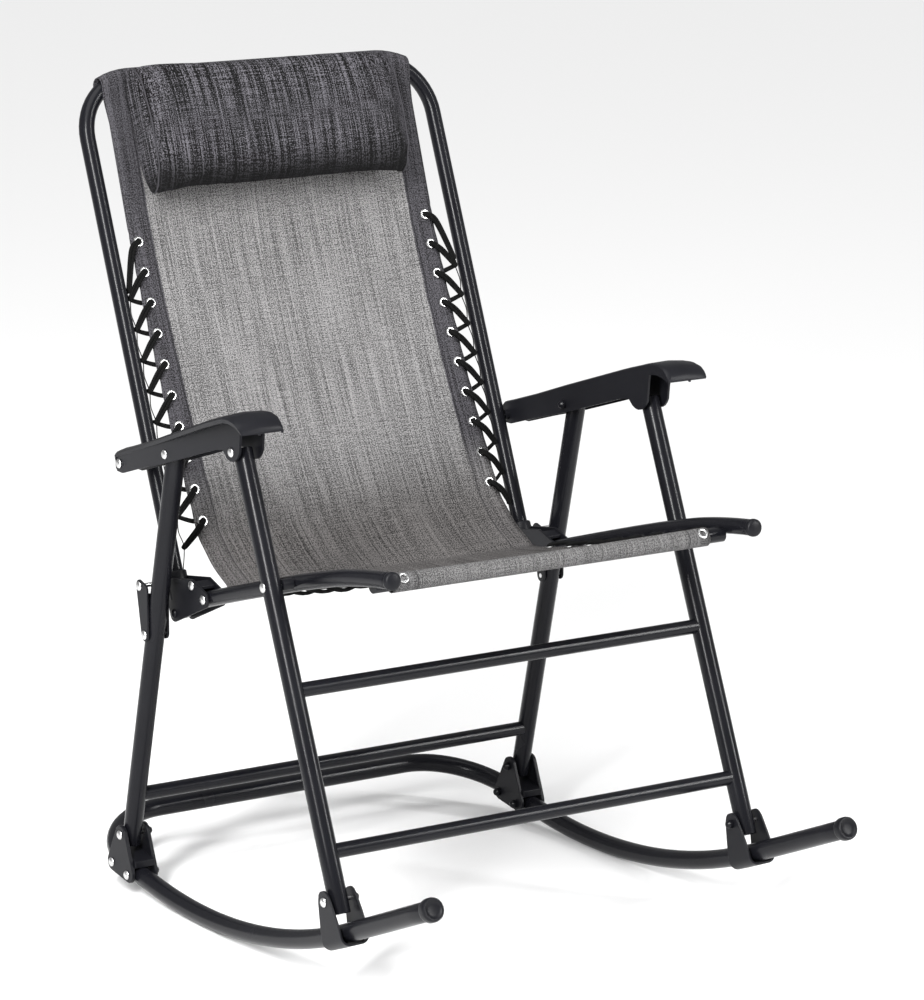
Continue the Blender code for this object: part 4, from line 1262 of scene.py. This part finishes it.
@dataclass
class Sling(Assembly):
    """One cloth from the top bar down the back and over the seat to the front bar."""

    half_x: float = 0.2365
    eyelet_x: float = 0.2245
    eyelet_r: float = 0.0055
    rim: float = 0.0019
    eyelet_top: SidePoint = (0.3709, 0.8465)
    eyelet_low: SidePoint = (0.2091, 0.4991)
    back_count: int = 10
    back_bow: float = 0.0066
    sleeve_flare: float = 0.0035
    seat_count: int = 7
    seat_span: tuple[float, float] = (0.062, -0.214)
    seat_edge: tuple = ((0.1300, 0.4325), (0.1108, 0.4262), (0.0400, 0.4400), (-0.0374, 0.4565),
                        (-0.1504, 0.4833), (-0.2200, 0.5030), (-0.2560, 0.5185))
    turn: tuple = ((0.2005, 0.4830), (0.1810, 0.4650), (0.1600, 0.4480))
    sleeve_r: float = 0.0125
    hem_r: float = 0.0117
    back_slack: float = 0.007
    seat_slack: float = 0.010
    thickness: float = 0.0013
    columns: int = 44
    rows: int = 240

    LEAN = Vector((0, 0.374, 0.927))
    BACK_OUT = Vector((0, -0.91, 0.41))
    SEAT_OUT = Vector((0, 0.22, 0.975))
    HEM_OUT = Vector((0, -0.80, 0.60))

    def back_step(self) -> float:
        """Height between two eyelets of the back."""
        return (self.eyelet_top[1] - self.eyelet_low[1]) / (self.back_count - 1)

    def depth(self, z: float) -> float:
        """The cloth's depth on the back.

        Args:
            z: Height.
        Returns:
            Depth of its middle surface there.
        """
        share = (self.eyelet_top[1] - z) / (self.eyelet_top[1] - self.eyelet_low[1])
        if share < 0:
            front = (PLAN.top_bar[0] - PLAN.frame_r - 0.0014, PLAN.top_bar[1] - 0.008)
            rise = (z - self.eyelet_top[1]) / (front[1] - self.eyelet_top[1])
            return lerp(self.eyelet_top[0], front[0], rise)
        straight = lerp(self.eyelet_top[0], self.eyelet_low[0], share)
        return straight + 4 * self.back_bow * share * max(1 - share, -0.2)

    def on_back(self, z: float) -> SidePoint:
        """The side-plane point of the cloth at a height on the back."""
        return (self.depth(z), z)

    def on_seat(self, y: float) -> SidePoint:
        """The cloth's edge on the seat.

        Args:
            y: Depth.
        Returns:
            The side-plane point of the edge there.
        """
        fine = smooth([Vector((0, *p)) for p in self.seat_edge], 80)
        near = min(fine, key=lambda p: abs(p.y - y))
        return (y, near.z)

    def back_eyelets(self) -> list[SidePoint]:
        """Eyelets of the back from the top down."""
        return [self.on_back(self.eyelet_top[1] - self.back_step() * k) for k in range(self.back_count)]

    def seat_eyelets(self) -> list[SidePoint]:
        """Eyelets of the seat from the rear forwards."""
        step = (self.seat_span[1] - self.seat_span[0]) / (self.seat_count - 1)
        return [self.on_seat(self.seat_span[0] + step * k) for k in range(self.seat_count)]

    @staticmethod
    def wrap(bar: SidePoint, radius: float, first: float, last: float) -> list[SidePoint]:
        """Bends the cloth round a bar.

        Args:
            bar: The bar's axis.
            radius: How far out the cloth runs.
            first: Where it meets the bar, in degrees above the rear.
            last: Where it leaves it.
        Returns:
            Points of the bend.
        """
        turns = [math.radians(lerp(first, last, k / 14)) for k in range(15)]
        return [(bar[0] + radius * math.cos(a), bar[1] + radius * math.sin(a)) for a in turns]

    def centre_line(self) -> list[Vector]:
        """The cloth's side profile.

        Returns:
            Points from behind the top bar to under the front bar.
        """
        points = self.wrap(PLAN.top_bar, self.sleeve_r, -35, 165)
        points += [self.on_back(lerp(1.034, 0.505, k / 16)) for k in range(17)]
        points += [*self.turn, *self.seat_edge]
        points += self.wrap(PLAN.seat_bar, self.hem_r, 88, 290)
        return smooth([Vector((0, *p)) for p in points], self.rows)

    @staticmethod
    def sleeve_drop(x: float, point: Vector) -> float:
        """How far the sleeve sinks with the top bar where the bar bends down to the sides.

        Args:
            x: Place across the chair.
            point: Place on the cloth's side profile.
        Returns:
            The drop.
        """
        past = min(max(abs(x) - PLAN.frame_x + PLAN.top_corner_r, 0.0), PLAN.top_corner_r)
        drop = PLAN.top_corner_r - math.sqrt(PLAN.top_corner_r**2 - past**2)
        return 0.6 * drop * clamped((point.z - 0.985) / 0.055)

    def scallop(self, point: Vector) -> float:
        """How far the cloth's edge draws in between two eyelets.

        Args:
            point: Place on the cloth's side profile.
        Returns:
            The distance.
        """
        if point.z > 0.86 or point.z < 0.49:
            return 0.0
        return 0.0012 * (1 - math.cos(2 * math.pi * (self.eyelet_top[1] - point.z) / self.back_step())) / 2

    def build(self) -> None:
        """The cloth, its eyelets and its laces."""
        cloth, length = self.build_cloth()
        world(0, (0.199, 0.478))
        world(0, (0.135, 0.434))
        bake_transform(cloth)
        rings = self.build_eyelets()
        Lacing(self).build()

    def build_cloth(self) -> tuple[bpy.types.Object, float]:
        """Makes the cloth, slack between its edges.

        Returns:
            The cloth and its length.
        """
        line = self.centre_line()
        solid = bmesh.new()
        uv_at = {}
        travelled, rows = 0.0, []
        for k, point in enumerate(line):
            travelled += (point - line[k - 1]).length if k else 0.0
            run = (line[min(k + 1, len(line) - 1)] - line[max(k - 1, 0)]).normalized()
            normal = Vector((0, -run.z, run.y))
            reach = self.half_x + self.sleeve_flare * clamped((point.z - 1.00) / 0.045)
            on_back = clamped((point.z - 0.50) / 0.1) * clamped((1.0 - point.z) / 0.1)
            on_seat = clamped((0.10 - point.y) / 0.06) * clamped((point.y + 0.24) / 0.08)
            row = []
            for c in range(self.columns + 1):
                across = 2 * c / self.columns - 1
                slack = (1 - across**2) * (self.back_slack * on_back + self.seat_slack * on_seat)
                pull = self.scallop(point) if abs(across) > 0.97 else 0.0
                place = point + normal * slack - self.LEAN * self.sleeve_drop(across * reach, point)
                x = across * reach - math.copysign(pull, across)
                vert = solid.verts.new(world(x, (place.y, place.z)))
                uv_at[vert] = (across * reach, travelled)
                row.append(vert)
            rows.append(row)
        layer = solid.loops.layers.uv.new("cloth")
        for first, second in zip(rows, rows[1:]):
            for c in range(self.columns):
                face = solid.faces.new((first[c], first[c + 1], second[c + 1], second[c]))
                for loop in face.loops:
                    loop[layer].uv = uv_at[loop.vert]
        cloth = piece("sling_cloth", solid, SLING_CLOTH, None, ["sling_back", "sling_seat"])
        thick = cloth.modifiers.new("thickness", "SOLIDIFY")
        thick.thickness = self.thickness
        thick.offset = 0.0
        return cloth, travelled

    def build_eyelets(self) -> list[bpy.types.Object]:
        """Puts rolled metal rings at both edges.

        Returns:
            The rings of the back and those of the seat.
        """
        back = [(p, self.BACK_OUT) for p in self.back_eyelets()]
        seat = [(p, self.SEAT_OUT) for p in self.seat_eyelets()]
        seat.append(((PLAN.seat_bar[0] - 0.0100, PLAN.seat_bar[1] + 0.0075), self.HEM_OUT))
        made = []
        for label, group, body in (("back", back, Body.BACK), ("seat", seat, Body.SEAT)):
            solid = bmesh.new()
            for _, side in SIDES:
                for point, normal in group:
                    centre = world(side * self.eyelet_x, point) + normal * 0.0008
                    hoop(solid, centre, normal, self.eyelet_r, self.rim)
            made.append(piece(f"{label}_eyelets", solid, EYELET_METAL, body))
        return made


@dataclass
class Lacing(Assembly):
    """Elastic cord from the eyelets to knots beside the tube, and the thin line that strings the knots."""

    sling: Sling
    strand_r: float = 0.0024
    gap: float = 0.0023
    lift: float = 0.0042
    edge_gap: float = 0.0015
    knot_x: float = 0.2545
    knot: tuple = ((-0.0032, 0.0008), (-0.0026, 0.0026), (-0.0008, 0.0037), (0.0008, 0.0037),
                   (0.0026, 0.0026), (0.0032, 0.0008))
    line_r: float = 0.0008
    line_foot_x: float = 0.2590
    line_foot_z: float = 0.436

    def build(self) -> None:
        """Laces of the back and of the seat on both sides."""
        sling = self.sling
        back = sling.back_eyelets()
        step = back[1][1] - back[0][1]
        levels = [h[1] + 0.8 * step for h in back]
        levels[0] = back[0][1] + 1.55 * step
        knots = [between(sling.on_back(z), (PLAN.back_depth(z), z), 0.6) for z in levels]
        outs = [sling.on_back(h[1] + 0.3 * step) for h in back]
        ins = [sling.on_back(h[1] + 0.94 * step) for h in back]
        seat = sling.seat_eyelets()
        pace = seat[1][0] - seat[0][0]
        tube = smooth([Vector((0, *p)) for p in SeatFrame().profile], 80)
        seat_knots = []
        for y in (h[0] + 0.6 * pace for h in seat):
            near = min(tube, key=lambda p: abs(p.y - y))
            seat_knots.append(between(sling.on_seat(y), (y, near.z), 0.5))
        seat_outs = [sling.on_seat(h[0] + 0.3 * pace) for h in seat]
        seat_ins = [sling.on_seat(h[0] + 0.85 * pace) for h in seat]
        for name, side in SIDES:
            solid = bmesh.new()
            self.lace(solid, side, back, outs, knots, ins, sling.BACK_OUT, first_return=1)
            piece(f"back_lacing_look_{name}", solid, CORD, Body.BACK, [f"back_lacing_{name}"])
            solid = bmesh.new()
            self.lace(solid, side, seat, seat_outs, seat_knots, seat_ins, sling.SEAT_OUT)
            piece(f"seat_lacing_look_{name}", solid, CORD, Body.SEAT, [f"seat_lacing_{name}"])
            self.string(f"knot_line_{name}", side, knots)

    def lace(self, solid: bmesh.types.BMesh, side: int, holes: Sequence[SidePoint],
             outs: Sequence[SidePoint], knots: Sequence[SidePoint], ins: Sequence[SidePoint],
             normal: Vector, first_return: int = 0) -> None:
        """Adds two strands from each hole over the cloth's edge to its knot, and back behind the cloth.

        Args:
            solid: The mesh that gets them.
            side: -1 on the left, 1 on the right.
            holes: The eyelets in order.
            outs: Where the strands cross the edge on their way out.
            knots: Where they are knotted.
            ins: Where they cross it on their way back to the next hole.
            normal: Where the cloth's upper face looks.
            first_return: The first knot that strands come back from.
        """
        lift = normal.normalized() * self.lift
        edge_x = side * (self.sling.half_x + self.edge_gap)
        hole_x = side * self.sling.eyelet_x
        for k, (hole, out, knot) in enumerate(zip(holes, outs, knots)):
            through = world(hole_x, hole)
            end = world(side * self.knot_x, knot)
            over = world(edge_x, out) + lift
            aside = (end - through).cross(normal).normalized() * self.gap
            for bend in (-aside, aside):
                route = [through - lift * 0.6, through + lift * 0.9 + bend * 0.5, over + bend,
                         end + lift * 0.3 + bend * 0.7]
                sweep(solid, smooth(route, 18), self.strand_r, 8)
                if first_return <= k < len(holes) - 1:
                    under = world(edge_x, ins[k]) - lift
                    after = world(hole_x, holes[k + 1]) - lift * 0.6
                    route = [end + lift * 0.3 + bend * 0.6, end - lift * 0.6 + bend * 0.7, under + bend * 0.8,
                             after]
                    sweep(solid, smooth(route, 14), self.strand_r, 8)
            lathe(solid, self.knot, end, end - through, 12)

    def string(self, name: str, side: int, knots: Sequence[SidePoint]) -> None:
        """Makes the thin line from knot to knot, bowed towards the tube.

        Args:
            name: The line's name.
            side: -1 on the left, 1 on the right.
            knots: The knots from the top down.
        """
        points = []
        for a, b in zip(knots, knots[1:]):
            first, last = world(side * self.knot_x, a), world(side * self.knot_x, b)
            points += [first, first.lerp(last, 0.5) + Vector((side * 0.0030, 0, 0))]
        points.append(world(side * self.knot_x, knots[-1]))
        foot = (PLAN.back_depth(self.line_foot_z), self.line_foot_z)
        points.append(world(side * self.line_foot_x, foot))
        solid = bmesh.new()
        sweep(solid, smooth(points, 160), self.line_r, 6)
        piece(name, solid, CORD, Body.BACK)


@dataclass
class Pillow(Assembly):
    """The headrest: a stuffed roll, flat where it lies on the cloth, with a sewn panel at each end."""

    left: float = -0.2110
    right: float = 0.1830
    half_height: float = 0.0880
    depth: float = 0.0600
    middle_z: float = 0.9770
    clearance: float = 0.0125
    voxel: float = 0.0055
    pressure: float = 4.0
    cap: float = 0.0060
    frames: int = 20
    shrink: float = -0.045
    round_r: float = 0.068
    folds: tuple = ((-0.012, 0.22, 0.0042), (-0.034, 0.10, 0.0034), (0.022, -0.15, 0.0018))
    piping_r: float = 0.0010
    piping_inset: float = 0.0035
    turns: int = 44
    columns: int = 40
    lean: Vector = field(default_factory=lambda: Vector((0, 0.374, 0.927)))
    out: Vector = field(default_factory=lambda: Vector((0, -0.927, 0.374)))

    def base(self) -> Vector:
        """The middle of the pillow's flat back."""
        return world(0, (PLAN.back_depth(self.middle_z), self.middle_z)) + self.out * self.clearance

    def outline(self, full: float) -> list[tuple[float, float]]:
        """The roll's section.

        Args:
            full: How full the roll is there, 0 to 1.
        Returns:
            (height, depth) points round it.
        """
        points = []
        for step in range(self.turns):
            angle = 2 * math.pi * step / self.turns
            tall = math.copysign(abs(math.sin(angle)) ** 0.75, math.sin(angle)) * self.half_height
            deep = self.depth * full * (0.5 + 0.5 * math.cos(angle)) ** 0.9
            points.append((tall * (0.90 + 0.10 * full), deep))
        return points

    def build(self) -> None:
        """The stuffed cover and the piping of its ends."""
        solid = self.shell()
        cover = piece("pillow_cover", solid, PILLOW_CLOTH, Body.BACK, ["headrest_pillow"], sharp=60.0)
        self.stuff(cover)
        self.crease(cover)
        self.lay_cloth(cover)
        cover.data.shade_smooth()
        finer = cover.modifiers.new("finer", "SUBSURF")
        finer.levels = finer.render_levels = 1
        self.build_piping(cover)

    def shell(self) -> bmesh.types.BMesh:
        """The cover before it is stuffed.

        Returns:
            Its mesh.
        """
        solid = bmesh.new()
        loops = []
        for k in range(self.columns + 1):
            share = 2 * k / self.columns - 1
            x = lerp(self.left, self.right, 0.5 + 0.5 * math.copysign(1 - (1 - abs(share)) ** 1.3, share))
            end = abs(2 * (x - self.left) / (self.right - self.left) - 1)
            full = 0.93 * (1 - 0.22 * end**10)
            middle = self.base() + Vector((x, 0, 0))
            loops.append([solid.verts.new(middle + self.lean * tall + self.out * deep)
                          for tall, deep in self.outline(full)])
        close_ends(solid, loops)
        return solid

    def stuff(self, cover: bpy.types.Object) -> None:
        """Swells the cover by a short cloth simulation, then applies it.

        Args:
            cover: The pillow's cover.
        """
        bpy.context.view_layer.objects.active = cover
        cover.select_set(True)
        remesh = cover.modifiers.new("even", "REMESH")
        remesh.mode = "VOXEL"
        remesh.voxel_size = self.voxel
        bpy.ops.object.modifier_apply(modifier=remesh.name)
        start = [v.co.copy() for v in cover.data.vertices]
        held = cover.vertex_groups.new(name="held")
        for k, place in enumerate(start):
            near_end = min(place.x - self.left, self.right - place.x)
            if (place - self.base()).dot(self.out) < 0.004 or near_end < 0.003:
                held.add([k], 1.0, "REPLACE")
        swell = cover.modifiers.new("swell", "CLOTH")
        swell.settings.use_pressure = True
        swell.settings.uniform_pressure_force = self.pressure
        swell.settings.vertex_group_mass = "held"
        swell.settings.shrink_min = self.shrink
        swell.settings.bending_stiffness = 0.25
        swell.settings.effector_weights.gravity = 0
        swell.point_cache.frame_start = 1
        swell.point_cache.frame_end = self.frames
        for frame_number in range(1, self.frames + 1):
            bpy.context.scene.frame_set(frame_number)
        swollen = cover.evaluated_get(bpy.context.evaluated_depsgraph_get()).to_mesh()
        moved = [v.co.copy() for v in swollen.vertices]
        cover.modifiers.remove(swell)
        bpy.context.scene.frame_set(1)
        for vertex, first, last in zip(cover.data.vertices, start, moved):
            shift = last - first
            if shift.length > self.cap:
                shift *= self.cap / shift.length
            vertex.co = first + shift
        cover.vertex_groups.clear()
        LOG.info("pillow: %d points swollen", len(start))

    def crease(self, cover: bpy.types.Object) -> None:
        """Makes soft folds where the cover is gathered at its ends, and a flat back.

        Args:
            cover: The pillow's cover.
        """
        for vertex in cover.data.vertices:
            offset = vertex.co - self.base()
            tall, deep = offset.dot(self.lean), offset.dot(self.out)
            near_right = max(0.0, 1 - (self.right - vertex.co.x) / 0.075)
            near_left = max(0.0, 1 - (vertex.co.x - self.left) / 0.040)
            front = clamped(deep / 0.03)
            fold = 0.0
            for at, tilt, deepness in self.folds:
                line = tall - at - tilt * (self.right - vertex.co.x)
                fold += deepness * math.exp(-((line / 0.0045) ** 2)) * near_right**0.8
            gather = noise.noise(Vector((vertex.co.x * 8, tall * 95, deep * 95))) * 0.0014
            fold += gather * (near_left + near_right)
            broad = noise.noise(Vector((vertex.co.x * 11, tall * 16, 4.0))) * 0.0016
            vertex.co -= self.out * ((fold - broad) * front)
            behind = (vertex.co - self.base()).dot(self.out)
            if behind < 0:
                vertex.co -= self.out * behind

    def lay_cloth(self, cover: bpy.types.Object) -> None:
        """Runs the weave round the roll, and flat over its end panels.

        Args:
            cover: The pillow's cover.
        """
        mesh = cover.data
        while mesh.uv_layers:
            mesh.uv_layers.remove(mesh.uv_layers[0])
        layer = mesh.uv_layers.new(name="cloth")
        centre = self.base() + self.out * 0.020
        for face in mesh.polygons:
            panel = abs(face.normal.x) > 0.75
            turns = []
            for index in face.loop_indices:
                offset = mesh.vertices[mesh.loops[index].vertex_index].co - centre
                tall, deep = offset.dot(self.lean), offset.dot(self.out)
                turns.append(math.atan2(tall, deep))
                if panel:
                    layer.data[index].uv = (deep + 1.0, tall)
            if panel:
                continue
            wraps = max(turns) - min(turns) > math.pi
            for index, turn in zip(face.loop_indices, turns):
                place = mesh.vertices[mesh.loops[index].vertex_index].co
                whole = turn + 2 * math.pi if wraps and turn < 0 else turn
                layer.data[index].uv = (place.x, whole * self.round_r)

    def build_piping(self, cover: bpy.types.Object) -> None:
        """Makes a raised seam round each end, on the stuffed cover's own surface.

        Args:
            cover: The pillow's cover.
        """
        bpy.context.view_layer.update()
        solid = bmesh.new()
        for x in (self.left + self.piping_inset, self.right - self.piping_inset):
            route = []
            for tall, deep in self.outline(0.95):
                outside = self.base() + self.lean * (tall * 1.05) + self.out * (deep * 1.1 + 0.001)
                found, near, normal, _ = cover.closest_point_on_mesh(outside + Vector((x, 0, 0)))
                if found and deep > 0.004:
                    route.append(Vector((x, near.y, near.z)) + normal * 0.0004)
            split = max(range(len(route)), key=lambda k: (route[k] - route[k - 1]).length)
            route = route[split:] + route[:split]
            sweep(solid, smooth(route, 90), self.piping_r, 8)
        piece("pillow_piping", solid, PIPING_CLOTH, Body.BACK)


# --------------------------------------------------------------------------------------------------
# Studio


@dataclass
class Studio:
    """Floor, lights and camera."""

    eye: tuple[float, float, float] = (-2.98658, -4.63929, 1.73505)
    gaze: tuple[float, float, float] = (0.53353, 0.81827, -0.21397)
    lens: float = 157.493
    shift: tuple[float, float] = (-0.0015, 0.0107)
    floor_reach: float = 14.0
    surround: float = 0.42
    sun_strength: float = 1.65
    sun_softness: float = 50.0
    sun_tilt: tuple[float, float] = (12.0, -14.0)
    aim: tuple[float, float, float] = (0, 0, 0.5)

    def build(self) -> None:
        """Sets the stage."""
        self.build_floor()
        self.build_camera()
        self.build_lights()

    def build_floor(self) -> None:
        """A wide pale floor."""
        solid = bmesh.new()
        corners = ((-1, -1), (1, -1), (1, 1), (-1, 1))
        solid.faces.new([solid.verts.new((x * self.floor_reach, y * self.floor_reach, -0.0003))
                         for x, y in corners])
        mesh = bpy.data.meshes.new("floor")
        solid.to_mesh(mesh)
        solid.free()
        floor = bpy.data.objects.new("floor", mesh)
        floor.data.materials.append(FLOOR.material())
        bpy.context.scene.collection.objects.link(floor)

    def build_camera(self) -> None:
        """A long lens from the front left, a little above the seat."""
        data = bpy.data.cameras.new("camera")
        data.lens = self.lens
        data.shift_x, data.shift_y = self.shift
        data.clip_end = 60.0
        camera = bpy.data.objects.new("camera", data)
        camera.location = self.eye
        camera.rotation_euler = Vector(self.gaze).to_track_quat("-Z", "Y").to_euler()
        bpy.context.scene.collection.objects.link(camera)
        bpy.context.scene.camera = camera

    def area_light(self, name: str, place: Vector, size: tuple[float, float], power: float) -> None:
        """Adds a soft rectangular light that faces the chair.

        Args:
            name: The light's name.
            place: Where it stands.
            size: Its width and height.
            power: Its power in watts.
        """
        data = bpy.data.lights.new(name, "AREA")
        data.shape = "RECTANGLE"
        data.size, data.size_y = size
        data.energy = power
        lamp = bpy.data.objects.new(name, data)
        lamp.location = place
        lamp.rotation_euler = (Vector(self.aim) - place).to_track_quat("-Z", "Y").to_euler()
        bpy.context.scene.collection.objects.link(lamp)

    def build_lights(self) -> None:
        """An even surround, a narrow key from the left, a fill from the right and a broad light overhead."""
        surround = bpy.data.worlds.new("surround")
        surround.use_nodes = True
        background = surround.node_tree.nodes["Background"]
        background.inputs["Color"].default_value = (1.0, 1.0, 1.0, 1.0)
        background.inputs["Strength"].default_value = self.surround
        bpy.context.scene.world = surround
        bpy.context.scene.view_settings.view_transform = "Standard"
        self.area_light("key", Vector((-2.9, -2.0, 2.6)), (0.40, 2.4), 260.0)
        self.area_light("fill", Vector((2.6, -3.0, 2.2)), (0.25, 2.2), 110.0)
        overhead = bpy.data.lights.new("overhead", "SUN")
        overhead.energy = self.sun_strength
        overhead.angle = math.radians(self.sun_softness)
        lamp = bpy.data.objects.new("overhead", overhead)
        lamp.rotation_euler = (*map(math.radians, self.sun_tilt), 0)
        bpy.context.scene.collection.objects.link(lamp)


def main() -> None:
    """Builds the chair's looks and the studio round it."""
    logging.basicConfig(level=logging.INFO, format="%(message)s")
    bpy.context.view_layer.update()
    Studio().build()
    parts = (RockerBase(), Legs(), Saddles(), Links(), Arms(), BackFrame(), SeatFrame(), Sling(), Pillow())
    for part in parts:
        part.build()
        LOG.info("%s is built", type(part).__name__)


if __name__ == "__main__":
    main()
